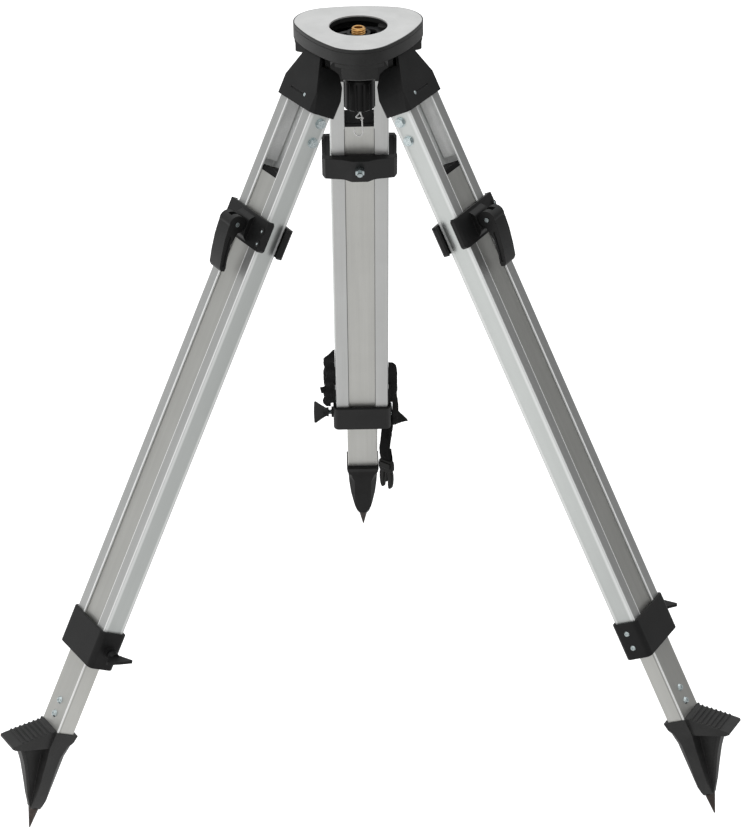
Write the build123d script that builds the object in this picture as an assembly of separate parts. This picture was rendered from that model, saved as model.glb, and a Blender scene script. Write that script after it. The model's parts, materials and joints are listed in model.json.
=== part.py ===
from build123d import *
import os
from math import sin, cos, radians, sqrt

# Surveyor tripod: flat head with a 5/8 inch instrument screw, three slotted
# light-alloy legs with a lever clamp each, pointed shoes with step pedals.
# Millimetres, +Z up, origin at the centre of the head plate's top face.
# In names, _R is a radius or a distance from an axis, _HALF half a width.

# ---------------------------------------------------------------- head sizes
HEAD_LOBE_R = 75.0          # centre to the tip of each rounded lobe
HEAD_FLAT_R = 61.0          # centre to the middle of each long side
HEAD_LOBE_ROUND = 41.0      # corner radius of a lobe
HEAD_HOLE_R = 31.5          # instrument hole
LOBE_AZIMUTHS = (30.0, 150.0, 270.0)
PLATE_T = 2.0               # light-alloy facing
PLATE_INSET = 1.2           # rim left round the facing
RIM_DEPTH = 18.0            # height of the head's side
RIM_TOP_Z = -0.45
GROOVE_Z0, GROOVE_Z1, GROOVE_DEPTH = -4.6, -4.0, 0.5
DECK_Z = -7.0               # underside of the deck under the facing
CAVITY_R = 42.5             # hollow under the deck, where the arm swings
BULGE_HALF, BULGE_Z, BULGE_INSET = 26.0, -22.5, 1.0
BLOCK_HALF, BLOCK_Z, BLOCK_INSET = 19.0, -36.0, 1.8

HINGE_R = 52.5              # leg hinge: distance from the tripod's axis
HINGE_Z = -47.5             # leg hinge: height
LUG_HALF = 12.9
LUG_BARREL_R = 10.0
PIN_R = 4.0
PIN_HALF = 23.8

# ------------------------------------------------- instrument screw and arm
SCREW_R = 7.9375            # 5/8 inch - 11 thread, outside radius
SCREW_BORE_R = 4.2
SCREW_TOP_Z = -2.0
SCREW_THREAD_END_Z = -14.0  # shoulder that keeps the screw in its bush
SCREW_SHANK_R = 7.3
FLANGE_R, FLANGE_TOP = 9.0, -52.0
SLEEVE_R, SLEEVE_BOTTOM = 6.0, -86.0    # part of the screw inside the knob
BUSH_WELL_R = 9.3           # well in the bush round the thread
ARM_AZIMUTH = 30.0
ARM_PIVOT_R = 33.5
ARM_Z0, ARM_Z1 = -13.0, -10.0
ARM_HALF_W = 16.0
ARM_ROOT_R = 8.5            # rounded end at the pivot
SLOT_HALF_W = 10.55
SLOT_TRAVEL = 11.0
BUSH_R = 10.5
KNOB_R = 17.2
KNOB_TOP, KNOB_BOTTOM = -57.0, -94.0
FLUTES, FLUTE_R = 12, 2.6
HOOK_PIN_Z = KNOB_BOTTOM - 3.1
HOOK_WIRE_R = 0.75

# ------------------------------------------------------------------ leg sizes
# Leg parts are drawn in the leg's own axes: X across the leg, Y outward from
# the leg, Z down the leg from its hinge. All _Y and _Z below are in these axes.
LEG_SPREAD = 26.7           # degrees from vertical, standing
# name: (azimuth, side of the cap that is +1 or -1, turn of the wing screw)
LEGS = {
    "left": (210.0, 1.0, 12.0),
    "right": (330.0, -1.0, 24.0),
    "rear": (90.0, 1.0, 0.0),
}
RAIL_HALF_W = 67.5 / 2      # over both rails
RAIL_HALF_D = 26.3 / 2
LIP_IN = 16.6               # half the slot between the rails' lips
RAIL_WALL = 2.0
RAIL_Z0, RAIL_Z1 = 18.0, 700.0
RAIL_POCKET_X = RAIL_HALF_W + 0.25      # half the pocket round both rails
RAIL_POCKET_Y = RAIL_HALF_D + 0.2
RAIL_BOLT_Y, RAIL_BOLT_STATIONS = -3.0, (43.0, 65.0)
INSERT_Z0, INSERT_Z1 = 16.0, 29.0
CAP_Y0, CAP_Y1, CAP_Z1 = -17.0, 16.6, 34.0
TUBE_W, TUBE_D, TUBE_WALL = 39.0, 21.6, 2.0
TUBE_HALF_W, TUBE_HALF_D = TUBE_W / 2, TUBE_D / 2
TUBE_BORE_W, TUBE_BORE_D = TUBE_W - 2 * TUBE_WALL, TUBE_D - 2 * TUBE_WALL
TUBE_Z0, TUBE_Z1 = 117.0, 802.0
CLAMP_Z = 178.0             # clamp bolt, distance down the leg
CLAMP_BOLT_R, CLAMP_HOLE_R = 3.1, 3.3
JAW_HALF_W, JAW_CORNER = 43.2, 2.5
JAW_OPENING_HALF, JAW_GAP = 39.9, 0.15
LEVER_Y = 33.0              # lever pivot, distance out from the leg's middle
CAM_R = 9.9
LEVER_HALF = 11.6           # half the lever's width
EYE_HALF = 6.8              # half the bolt's eye
COLLAR_Z0, COLLAR_Z1 = 659.0, 704.0
COLLAR_W, COLLAR_D = 74.0, 33.4
WING_Y, WING_Z, WING_HOLE_R = -3.0, 682.0, 3.3
RIVET_Y, RIVET_STATIONS, RIVET_HOLE_R = -1.0, (672.0, 690.0), 1.55
SHOE_Z = 795.0
SHOE_SCREW_STATIONS = (763.0, 780.0)
SPIKE_Z, TIP_Z, TIP_Y = 899.0, 925.0, -15.3
STEM_Y, STEM_R = -9.8, 3.0  # stem of the spike, inside the shoe
STRAP_Y0, STRAP_Y1 = 17.6, 20.6

os.makedirs("parts", exist_ok=True)


# ------------------------------------------------------------- shared helpers
def block(x0, x1, y0, y1, z0, z1):
    return Pos((x0 + x1) / 2, (y0 + y1) / 2, (z0 + z1) / 2) * Box(abs(x1 - x0), y1 - y0, z1 - z0)


# prisms: an outline in the other two axes, extruded along the named one
def prism_x(points, x0, x1):
    return extrude(Plane.YZ.offset(x0) * Polygon(*points, align=None), x1 - x0, dir=(1, 0, 0))


def prism_y(points, y0, y1):
    return extrude(Plane.XZ.offset(-y1) * Polygon(*points, align=None), y1 - y0, dir=(0, -1, 0))


def prism_z(points, z0, z1):
    return extrude(Plane.XY.offset(z0) * Polygon(*points, align=None), z1 - z0, dir=(0, 0, 1))


def rod_x(radius, x0, x1, y, z):
    return Pos((x0 + x1) / 2, y, z) * Rot(0, 90, 0) * Cylinder(radius, abs(x1 - x0))


def rod_y(radius, y0, y1, x, z):
    return Pos(x, (y0 + y1) / 2, z) * Rot(90, 0, 0) * Cylinder(radius, y1 - y0)


def rod_z(radius, z0, z1, x=0.0, y=0.0):
    return Pos(x, y, (z0 + z1) / 2) * Cylinder(radius, z1 - z0)


def round_rect(width, depth, corner, z0, z1):
    return extrude(Plane.XY.offset(z0) * RectangleRounded(width, depth, corner), z1 - z0,
                   dir=(0, 0, 1))


# closes a half outline with its mirror image in X
def mirrored(points):
    return points + [(-a, b) for a, b in reversed(points)]


def chamfer_at(shape, z, size):
    return chamfer(shape.edges().filter_by_position(Axis.Z, z - 0.01, z + 0.01), size)


# turns a shape drawn round azimuth 90 to a leg's azimuth
def at_leg(azimuth, shape):
    return Rot(0, 0, azimuth - 90.0) * shape


def leg_frame(azimuth):
    angle, spread = radians(azimuth), radians(LEG_SPREAD)
    x, y = cos(angle), sin(angle)
    down = (x * sin(spread), y * sin(spread), -cos(spread))
    return Plane(origin=(x * HINGE_R, y * HINGE_R, HINGE_Z), x_dir=(-y, x, 0.0), z_dir=down)


def save(name, *shapes):
    solids = [solid for shape in shapes for solid in shape.solids()]
    for i, solid in enumerate(solids):
        solid.label = name if len(solids) == 1 else name + "_" + str(i + 1)
    whole = solids[0] if len(solids) == 1 else Compound(label=name, children=solids)
    export_step(whole, "parts/" + name + ".step")


# ----------------------------------------------------------------------- head
LOBE_CENTRE_R = HEAD_LOBE_R - HEAD_LOBE_ROUND
LOBE_X = LOBE_CENTRE_R * cos(radians(30))
LOBE_Y = LOBE_CENTRE_R * sin(radians(30))
# centre offset of the long, slightly bowed sides, so that they meet the lobes smoothly
BOW_RISE = HEAD_FLAT_R - HEAD_LOBE_ROUND
BOW_OFFSET = (LOBE_X ** 2 + LOBE_Y ** 2 - BOW_RISE ** 2) / (2 * (BOW_RISE - LOBE_Y))


def head_outline(offset):
    def tangent(side):
        x, y = side * LOBE_X, LOBE_Y + BOW_OFFSET
        length = sqrt(x * x + y * y)
        radius = HEAD_LOBE_ROUND + offset
        return (side * LOBE_X + radius * x / length, LOBE_Y + radius * y / length)

    def turn(point, degrees):
        x, y = point
        c, s = cos(radians(degrees)), sin(radians(degrees))
        return (x * c - y * s, x * s + y * c)

    start, end = tangent(1), tangent(-1)
    side_mid = (0.0, HEAD_FLAT_R + offset)
    lobe_tip = (0.0, HEAD_LOBE_R + offset)
    edges = []
    for k in range(3):
        rot = 120.0 * k
        edges.append(ThreePointArc(turn(start, rot), turn(side_mid, rot), turn(end, rot)))
        edges.append(ThreePointArc(turn(end, rot), turn(lobe_tip, rot + 60),
                                   turn(start, rot + 120)))
    return make_face(edges)


def head_slab(offset, z0, z1):
    return extrude(Plane.XY.offset(z0) * head_outline(offset), z1 - z0, dir=(0, 0, 1))


# head slab kept only in a strip across each lobe
def lobe_step(inset, half, z0, z1):
    strip = block(30.0, 90.0, -half, half, z0, z1)
    first, second, third = [Rot(0, 0, azimuth) * strip for azimuth in LOBE_AZIMUTHS]
    return head_slab(-inset, z0, z1) & (first + second + third)


def arm_pivot():
    angle = radians(ARM_AZIMUTH)
    return ARM_PIVOT_R * cos(angle), ARM_PIVOT_R * sin(angle)


def make_head_plate():
    plate = head_slab(-PLATE_INSET, -PLATE_T, 0.0) - rod_z(HEAD_HOLE_R, -PLATE_T - 1, 1)
    return chamfer_at(plate, 0.0, 0.35)


def make_head_body():
    body = head_slab(0.0, -RIM_DEPTH, RIM_TOP_Z)
    body = chamfer_at(body, -RIM_DEPTH, 0.8)
    body -= head_slab(-PLATE_INSET, -PLATE_T, 1.0)
    # groove round the rim
    body -= (head_slab(1.0, GROOVE_Z0, GROOVE_Z1)
             - head_slab(-GROOVE_DEPTH, GROOVE_Z0, GROOVE_Z1))
    # lobes: a bulging upper step and a narrower block under it
    bulge = lobe_step(BULGE_INSET, BULGE_HALF, BULGE_Z, -RIM_DEPTH + 0.2)
    lower = lobe_step(BLOCK_INSET, BLOCK_HALF, BLOCK_Z, BULGE_Z + 0.2)
    lower = chamfer_at(lower, BLOCK_Z, 1.5)
    body += bulge
    body += lower
    # hinge lugs
    for azimuth, _, _ in LEGS.values():
        body += at_leg(azimuth, block(-LUG_HALF, LUG_HALF, HINGE_R - 9.5, HINGE_R - 3.0,
                                      HINGE_Z, -RIM_DEPTH + 1))
        body += at_leg(azimuth, rod_x(LUG_BARREL_R, -LUG_HALF, LUG_HALF, HINGE_R, HINGE_Z))
    body -= rod_z(CAVITY_R, BLOCK_Z - 1, DECK_Z)
    body -= rod_z(HEAD_HOLE_R, DECK_Z - 1, 1)
    for azimuth, _, _ in LEGS.values():
        body -= at_leg(azimuth, rod_x(PIN_R, -LUG_HALF - 1, LUG_HALF + 1, HINGE_R, HINGE_Z))
    # headed-over post that carries the swing arm
    x, y = arm_pivot()
    body += rod_z(7.5, ARM_Z1 + 0.15, DECK_Z + 0.5, x, y)
    body += rod_z(PIN_R, ARM_Z0 - 1.0, ARM_Z1 + 0.5, x, y)
    body += rod_z(6.5, ARM_Z0 - 2.6, ARM_Z0 - 0.15, x, y)
    return body


def make_hinge_pin(azimuth):
    pin = rod_x(PIN_R - 0.005, -PIN_HALF, PIN_HALF, HINGE_R, HINGE_Z)
    return at_leg(azimuth, chamfer(pin.edges().filter_by(GeomType.CIRCLE), 0.5))


# swing arm, drawn with its pivot at the origin and its length along -X
def make_screw_arm():
    slot_ends = (-ARM_PIVOT_R - SLOT_TRAVEL, -ARM_PIVOT_R + SLOT_TRAVEL)
    left, right = slot_ends[0] - 1, slot_ends[1] + 1
    arm = block(left - 1, right + 1, -ARM_HALF_W, ARM_HALF_W, ARM_Z0, ARM_Z1)
    arm += rod_z(ARM_HALF_W, ARM_Z0, ARM_Z1, left)
    arm += rod_z(ARM_HALF_W, ARM_Z0, ARM_Z1, right)
    arm += rod_z(ARM_ROOT_R, ARM_Z0, ARM_Z1)
    arm += block(-18.0, 0.0, -ARM_ROOT_R, ARM_ROOT_R, ARM_Z0, ARM_Z1)
    arm -= rod_z(PIN_R + 0.05, ARM_Z0 - 1, ARM_Z1 + 1)
    arm -= block(*slot_ends, -SLOT_HALF_W, SLOT_HALF_W, ARM_Z0 - 1, ARM_Z1 + 1)
    for x in slot_ends:
        arm -= rod_z(SLOT_HALF_W, ARM_Z0 - 1, ARM_Z1 + 1, x)
    return Pos(*arm_pivot(), 0) * Rot(0, 0, ARM_AZIMUTH) * arm


# bush in the arm's slot, with a flange above and below the arm
def make_screw_bush():
    bush = rod_z(BUSH_R, ARM_Z0 - 0.2, ARM_Z1 + 0.2)
    bush += rod_z(13.2, ARM_Z1 + 0.15, DECK_Z - 0.6)
    bush += rod_z(14.0, ARM_Z0 - 4.5, ARM_Z0 - 0.15)
    bush += rod_z(11.5, -24.0, ARM_Z0 - 4.0)
    bush -= rod_z(SCREW_SHANK_R + 0.06, -30, 0)
    bush -= rod_z(BUSH_WELL_R, SCREW_THREAD_END_Z - 1.0, 0)
    return bush


# hollow screw, plain at its thread's outside diameter, with a flange on the knob
def make_fixing_screw():
    profile = [     # radius, z
        (SCREW_BORE_R, SCREW_TOP_Z - 0.8), (SCREW_BORE_R + 0.8, SCREW_TOP_Z),
        (SCREW_R - 0.9, SCREW_TOP_Z), (SCREW_R, SCREW_TOP_Z - 0.9),
        (SCREW_R, SCREW_THREAD_END_Z), (SCREW_SHANK_R, SCREW_THREAD_END_Z),
        (SCREW_SHANK_R, FLANGE_TOP), (FLANGE_R, FLANGE_TOP), (FLANGE_R, KNOB_TOP),
        (SLEEVE_R, KNOB_TOP), (SLEEVE_R, SLEEVE_BOTTOM), (SCREW_BORE_R, SLEEVE_BOTTOM),
    ]
    return revolve(Plane.XZ * Polygon(*profile, align=None), Axis.Z, 360)


def make_screw_knob():
    knob = rod_z(KNOB_R, KNOB_BOTTOM, KNOB_TOP)
    knob = chamfer(knob.edges().filter_by(GeomType.CIRCLE).sort_by(Axis.Z)[-1], 2.2)
    knob = chamfer(knob.edges().filter_by(GeomType.CIRCLE).sort_by(Axis.Z)[0], 1.2)
    pitch = 360.0 / FLUTES
    for k in range(FLUTES):
        knob -= Rot(0, 0, pitch * (k + 0.5)) * rod_z(
            FLUTE_R, KNOB_BOTTOM - 1, KNOB_TOP - 5.5, KNOB_R + 1.3)
    knob -= rod_z(SLEEVE_R + 0.01, SLEEVE_BOTTOM - 0.01, KNOB_TOP + 1)
    # two small ears and a cross pin under the knob for the plumb hook
    for side in (1, -1):
        knob += block(side * 3.0, side * 5.0, -2.5, 2.5, KNOB_BOTTOM - 4.5, KNOB_BOTTOM + 0.5)
    knob += rod_x(0.8, -4.0, 4.0, 0.0, HOOK_PIN_Z)
    return knob


# round wire with a ball at each bend; points are x, y, z from the hook's cross pin
def wire(points):
    points = [(x, y, HOOK_PIN_Z + z) for x, y, z in points]
    out = Pos(*points[0]) * Sphere(HOOK_WIRE_R)
    for start, end in zip(points, points[1:]):
        out += Pos(*end) * Sphere(HOOK_WIRE_R)
        run = Vector(*end) - Vector(*start)
        middle = (Vector(*end) + Vector(*start)) / 2
        out += Plane(origin=middle, z_dir=run.normalized()) * Cylinder(HOOK_WIRE_R, run.length)
    return out


def make_plumb_hook():
    loop = [
        (0, -2.0, 0.5), (0, -0.9, 1.75), (0, 0.9, 1.75), (0, 2.0, 0.5), (0, 0.9, -4.0),
        (-3.6, 0, -9.0), (2.2, 0, -9.8), (0, -0.9, -4.0), (0, -2.0, 0.5),
    ]
    crook = [
        (2.2, 0, -9.8), (2.6, 0, -18.0), (3.4, 0, -27.0), (2.0, 0, -30.0),
        (-1.5, 0, -31.2), (-4.6, 0, -29.6), (-6.2, 0, -26.4), (-5.4, 0, -23.0),
    ]
    return wire(loop) + wire(crook)


# --------------------------------------------------- top of a leg, and its rails
def make_cap(side):
    front = mirrored([(37.0, CAP_Z1), (37.0, 28.0), (34.2, 13.5), (20.0, -14.0), (14.8, -24.0)])
    profile = [     # y, z
        (CAP_Y0, CAP_Z1), (CAP_Y0, 0.0), (-11.0, -11.5), (-4.0, -14.0), (LUG_HALF, -14.0),
        (LUG_HALF, -24.0), (15.2, -24.0), (CAP_Y1, -20.0), (CAP_Y1, CAP_Z1),
    ]
    cap = prism_y(front, CAP_Y0, CAP_Y1)
    cap &= prism_x(profile, -40, 40)
    # bevelled long corners
    for sign in (1, -1):
        cap -= prism_z([(sign * 33.2, 16.7), (sign * 37.1, 12.9), (sign * 38.0, 18.0)],
                       12.0, 35.0)
        cap -= prism_z([(sign * 34.0, -17.1), (sign * 37.1, -14.0), (sign * 38.0, -18.0)],
                       12.0, 35.0)
    # knuckle pocket, open to the inside of the tripod
    cap -= block(-LUG_HALF - 0.3, LUG_HALF + 0.3, -20.0, 12.9, -40.0, 13.0)
    # pocket for the insert and the rails
    cap -= block(-30.2, 30.2, -12.8, 12.8, INSERT_Z0 - 0.2, 40.0)
    cap -= block(-RAIL_POCKET_X, RAIL_POCKET_X, -RAIL_POCKET_Y, RAIL_POCKET_Y,
                 RAIL_Z0 - 0.2, 40.0)
    # pin bore, blind at one end
    cap -= rod_x(PIN_R + 0.05, -side * 40, side * 24.2, 0, 0)
    # shallow slot and screw seat on the outer face
    cap -= block(-14.5, 14.5, 15.6, 18.0, 19.6, 21.6)
    cap -= rod_y(2.4, 15.6, 18.0, 13.5 * side, 20.8)
    return cap


# bar inside the cap with a scooped tongue down into each rail
def make_cap_insert():
    half_w, half_d = 31.2, 9.6
    insert = block(-half_w, half_w, -half_d, half_d, RAIL_Z0 + 0.2, INSERT_Z1)
    insert += block(-29.8, 29.8, -10.8, 10.8, INSERT_Z0, INSERT_Z1)
    insert += block(-29.5, 29.5, -12.6, 12.6, INSERT_Z0, RAIL_Z0 - 0.1)
    for side in (1, -1):
        tongue = block(side * 23.9, side * half_w, -half_d, half_d, INSERT_Z1 - 1, 106.0)
        tongue -= rod_z(18.6, 29.0, 121.0, side * 8.0)
        insert += tongue
    for side in (1, -1):
        for z in RAIL_BOLT_STATIONS:
            insert -= rod_x(3.02, side * 27.2, side * 34.0, RAIL_BOLT_Y, z)
    return insert


# channel with its lips towards the middle of the leg
def make_rail(side):
    lip, depth, inside = LIP_IN, RAIL_HALF_D, RAIL_HALF_D - RAIL_WALL
    corner = 0.9
    mid = 0.2929 * corner       # from the sharp corner to the arc's middle, in X and Y
    start = (lip + corner, depth)
    # x, y: an end point makes a line, a middle and an end point make an arc
    steps = [
        [(31.3, depth)],
        [(32.35, depth - 0.45), (32.8, depth - 1.5)],
        [(RAIL_HALF_W, 0), (32.8, -depth + 1.5)],
        [(32.35, -depth + 0.45), (31.3, -depth)],
        [(lip + corner, -depth)],
        [(lip + mid, -depth + mid), (lip, -depth + corner)],
        [(lip, -inside)],
        [(30.0, -inside)],
        [(31.3, -depth + 3.3)],
        [(31.75, 0), (31.3, depth - 3.3)],
        [(30.0, inside)],
        [(lip, inside)],
        [(lip, depth - corner)],
        [(lip + mid, depth - mid), start],
    ]
    edges = []
    for step in steps:
        points = [(side * x, y) for x, y in [start, *step]]
        edges.append(Line(*points) if len(points) == 2 else ThreePointArc(*points))
        start = step[-1]
    rail = extrude(Plane.XY.offset(RAIL_Z0) * make_face(edges), RAIL_Z1 - RAIL_Z0, dir=(0, 0, 1))
    x0, x1 = side * 28.0, side * 40.0
    for z in RAIL_BOLT_STATIONS:
        rail -= rod_x(3.15, x0, x1, RAIL_BOLT_Y, z)
    if side > 0:
        rail -= rod_x(WING_HOLE_R, x0, x1, WING_Y, WING_Z)
    else:
        for z in RIVET_STATIONS:
            rail -= rod_x(RIVET_HOLE_R, x0, x1, RIVET_Y, z)
    return rail


def make_rail_bolts():
    out = []
    for side in (1, -1):
        for z in RAIL_BOLT_STATIONS:
            x = side * (RAIL_HALF_W + 0.02)
            seat = Plane(origin=(x, RAIL_BOLT_Y, z), z_dir=(side, 0, 0))
            head = seat * extrude(RegularPolygon(5.3, 6), 3.8)
            head = head & (seat * Pos(0, 0, 1.9) * Cone(6.6, 4.7, 3.8))
            head += seat * Pos(0, 0, 0.4) * Cylinder(5.9, 0.8)
            out.append(head + rod_x(3.0, x, side * 27.3, RAIL_BOLT_Y, z))
    return out


# ------------------------------------------- collar at the rails' lower end
def make_collar():
    collar = round_rect(COLLAR_W, COLLAR_D, 6.5, COLLAR_Z0, COLLAR_Z1)
    collar = chamfer_at(collar, COLLAR_Z0, 0.6)
    collar = chamfer_at(collar, COLLAR_Z1, 0.6)
    collar -= block(-RAIL_POCKET_X, RAIL_POCKET_X, -RAIL_POCKET_Y, RAIL_POCKET_Y,
                    COLLAR_Z0 - 1, RAIL_Z1 + 0.3)
    collar -= block(-21.5, 21.5, -RAIL_POCKET_Y, RAIL_POCKET_Y, RAIL_Z1, COLLAR_Z1 + 1)
    # boss round the wing screw's stud
    collar += rod_x(7.0, 36.5, 39.6, WING_Y, WING_Z)
    collar -= rod_x(WING_HOLE_R, 30.0, 45.0, WING_Y, WING_Z)
    for z in RIVET_STATIONS:
        collar -= rod_x(RIVET_HOLE_R, -45.0, -30.0, RIVET_Y, z)
    return collar


def make_collar_rivets():
    out = []
    for z in RIVET_STATIONS:
        seat = Plane(origin=(-COLLAR_W / 2, RIVET_Y, z), z_dir=(-1, 0, 0))
        rivet = seat * Pos(0, 0, 0.65) * Cone(3.3, 2.3, 1.3)
        rivet -= seat * Pos(0, 0, 1.2) * Cylinder(1.0, 1.4)
        rivet += rod_x(1.5, -COLLAR_W / 2 - 0.05, -31.0, RIVET_Y, z)
        rivet += rod_x(2.4, -31.3, -30.3, RIVET_Y, z)
        out.append(rivet)
    return out


def make_wing_screw(turn):
    stud = rod_x(3.0, 20.2, 48.0, 0, 0)
    hub = Pos(46.5, 0, 0) * Rot(0, 90, 0) * Cone(6.2, 5.0, 7.0)
    outline = [     # x, y
        (44.5, -4.5), (47.0, -6.2), (52.5, -10.2), (59.5, -16.2), (61.8, -15.6), (62.4, 0.0),
        (61.8, 15.6), (59.5, 16.2), (52.5, 10.2), (47.0, 6.2), (44.5, 4.5),
    ]
    wing = prism_z(outline, -1.7, 1.7)
    wing = fillet(wing.edges().filter_by(Axis.Z), 0.7)
    return Pos(0, WING_Y, WING_Z) * Rot(turn, 0, 0) * (stud + hub + wing)


# ----------------------------------------------------------------- inner tube
def make_tube():
    tube = round_rect(TUBE_W, TUBE_D, 1.3, TUBE_Z0, TUBE_Z1)
    tube -= round_rect(TUBE_BORE_W, TUBE_BORE_D, 0.6, TUBE_Z0 - 1, TUBE_Z1 + 1)
    tube -= rod_y(3.25, -12, 12, 0, CLAMP_Z)
    for z in SHOE_SCREW_STATIONS:
        tube -= rod_y(2.1, 5, 12, 0, z)
    return tube


def make_tube_plug():
    top = TUBE_Z0 - 5.5
    plug = round_rect(TUBE_W - 0.2, TUBE_D - 0.2, 1.3, top, TUBE_Z0 - 0.02)
    plug = chamfer_at(plug, top, 0.7)
    plug += round_rect(TUBE_BORE_W - 0.1, TUBE_BORE_D - 0.1, 0.5, TUBE_Z0 - 1, TUBE_Z0 + 16)
    plug -= round_rect(TUBE_W - 8.4, TUBE_D - 8.4, 0.6, TUBE_Z0 - 2, TUBE_Z0 + 17)
    return plug


# ---------------------------------------------------------------- lever clamp
def make_jaw_outer():
    section = mirrored([(JAW_HALF_W, 9.6), (JAW_HALF_W, 14.6), (41.2, 17.2), (15.5, 17.6)])
    z0, z1, corner_x = 160.0, 195.0, JAW_HALF_W - JAW_CORNER
    front = mirrored([(corner_x, z0), (JAW_HALF_W, z0 + JAW_CORNER),
                      (JAW_HALF_W, z1 - JAW_CORNER), (corner_x, z1), (20.0, z1), (14.0, 198.5)])
    jaw = prism_z(section, z0, z1) & prism_y(front, 5.0, 20.0)
    jaw -= block(-JAW_OPENING_HALF, JAW_OPENING_HALF, 0, RAIL_HALF_D + JAW_GAP, 150, 200)
    jaw -= block(-50, -34.6, 0, 9.7, 150, 200)
    # pad under the lever's cams
    pad_y = LEVER_Y - CAM_R - 0.1
    jaw += prism_x([(17.0, 163.0), (21.5, 167.0), (pad_y, 169.5), (pad_y, 186.5),
                    (21.5, 189.0), (17.0, 193.0)], -14.0, 14.0)
    jaw -= rod_y(CLAMP_HOLE_R, 10, 30, 0, CLAMP_Z)
    # two small studs at the +X end
    for z in (172.5, 187.0):
        jaw += Pos(37.8, 17.5, z) * Rot(-90, 0, 0) * Cone(2.8, 1.9, 1.5)
    return jaw


def make_jaw_inner():
    section = mirrored([(JAW_HALF_W, -9.8), (JAW_HALF_W, -15.0), (39.5, -18.6),
                        (20.0, -20.4), (9.0, -23.4)])
    z0, z1, corner_x = 163.0, 197.5, JAW_HALF_W - JAW_CORNER
    front = mirrored([(corner_x, z0), (JAW_HALF_W, z0 + JAW_CORNER),
                      (JAW_HALF_W, z1 - JAW_CORNER), (corner_x, z1), (16.0, z1), (10.0, 199.0)])
    jaw = prism_z(section, z0, 199.0) & prism_y(front, -30.0, -5.0)
    jaw -= block(-JAW_OPENING_HALF, JAW_OPENING_HALF, -RAIL_HALF_D - JAW_GAP, 0, 150, 205)
    for z in (CLAMP_Z + 5.0, CLAMP_Z):
        jaw -= rod_y(CLAMP_HOLE_R, -30, -10, 0, z)
    return jaw


def make_clamp_bolt():
    bolt = rod_y(CLAMP_BOLT_R, -24.0, LEVER_Y, 0, CLAMP_Z)
    bolt += rod_x(4.6, -EYE_HALF, EYE_HALF, LEVER_Y, CLAMP_Z)
    bolt += rod_x(2.5, -LEVER_HALF - 0.6, LEVER_HALF + 0.6, LEVER_Y, CLAMP_Z)
    # nut and stud end on the inside of the leg
    bolt += Plane(origin=(0, -23.5, CLAMP_Z), z_dir=(0, -1, 0)) * extrude(
        RegularPolygon(5.8, 6), 4.6)
    bolt += rod_y(CLAMP_BOLT_R, -31.8, -23.0, 0, CLAMP_Z)
    return bolt


def make_clamp_lever():
    # all outlines are y, z from the lever's pivot
    def prism(points, x0, x1):
        return prism_x([(LEVER_Y + y, CLAMP_Z + z) for y, z in points], x0, x1)

    outline = [
        (-5.0, 7.0), (5.0, -7.0), (9.1, -1.0), (9.3, 6.0), (8.0, 20.0), (4.4, 38.0),
        (0.8, 51.5), (-2.4, 54.6), (-6.4, 53.6), (-6.6, 50.0), (-4.0, 40.0), (-1.6, 24.0),
        (-3.0, 14.0),
    ]
    channel = [(-20.0, 7.6), (4.2, 9.6), (4.2, 20.0), (0.8, 37.0), (-2.8, 48.5), (-20.0, 48.5)]
    bolt_slot = [
        (-30.0, 4.0), (0.0, 4.0), (4.2, 0.9), (5.3, -3.6), (7.3, -8.3), (8.6, -20.0),
        (-30.0, -20.0),
    ]
    panel = [
        (1.4, 15.0), (6.6, 14.0), (6.2, 20.0), (2.8, 37.5), (-1.2, 49.6), (-4.0, 48.8),
        (-1.6, 39.0), (0.6, 24.0),
    ]
    lever = prism(outline, -LEVER_HALF, LEVER_HALF)
    lever += rod_x(CAM_R, -LEVER_HALF, LEVER_HALF, LEVER_Y, CLAMP_Z)
    # channel towards the leg, closed over the head but for the bolt's slot
    lever -= prism(channel, -LEVER_HALF + 2.8, LEVER_HALF - 2.8)
    lever -= rod_x(5.3, -EYE_HALF - 0.5, EYE_HALF + 0.5, LEVER_Y, CLAMP_Z)
    lever -= prism(bolt_slot, -3.7, 3.7)
    lever -= rod_x(2.56, -20, 20, LEVER_Y, CLAMP_Z)
    # shallow panel sunk in each side
    lever -= prism(panel, LEVER_HALF - 1.3, LEVER_HALF + 1.0)
    lever -= prism(panel, -LEVER_HALF - 1.0, -LEVER_HALF + 1.3)
    return lever


# ----------------------------------------------------------------------- shoe
def make_socket():
    front = mirrored([      # x, z
        (20.9, SHOE_Z), (20.4, 800.0), (20.1, 804.0), (19.5, 811.0), (18.9, 822.0),
        (18.3, 836.0), (16.2, 858.0), (12.4, 878.0), (8.0, 894.0), (5.4, SPIKE_Z),
    ])
    profile = [     # y, z
        (12.4, SHOE_Z - 0.5), (12.4, 814.0), (6.0, 850.0), (-4.2, SPIKE_Z), (-15.8, SPIKE_Z),
        (-15.2, 815.0), (-14.8, 804.0), (-16.2, SHOE_Z - 0.5),
    ]
    socket = prism_y(front, -17.5, 12.6) & prism_x(profile, -30, 30)
    # the inner corners fall away to a keel; each cutter is a triangle that grows down the shoe
    stations = [    # z, y on the side, x on the inner face
        (798.0, -15.6, 19.6), (803.0, -10.0, 13.0), (811.0, -4.6, 4.0), (826.0, -1.5, -2.0),
    ]

    def triangle(side, y, x):
        return [(side * 23.0, y), (side * 23.0, -30.0), (side * x, -30.0)]

    for side in (1, -1):
        sections = [
            Plane(origin=(0, 0, z), z_dir=(0, 0, 1)) * Polygon(*triangle(side, y, x), align=None)
            for z, y, x in stations
        ]
        for upper, lower in zip(sections, sections[1:]):
            socket -= loft([upper, lower], ruled=True)
        z, y, x = stations[-1]
        socket -= prism_z(triangle(side, y, x), z - 0.01, SPIKE_Z + 1)
    return socket


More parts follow.
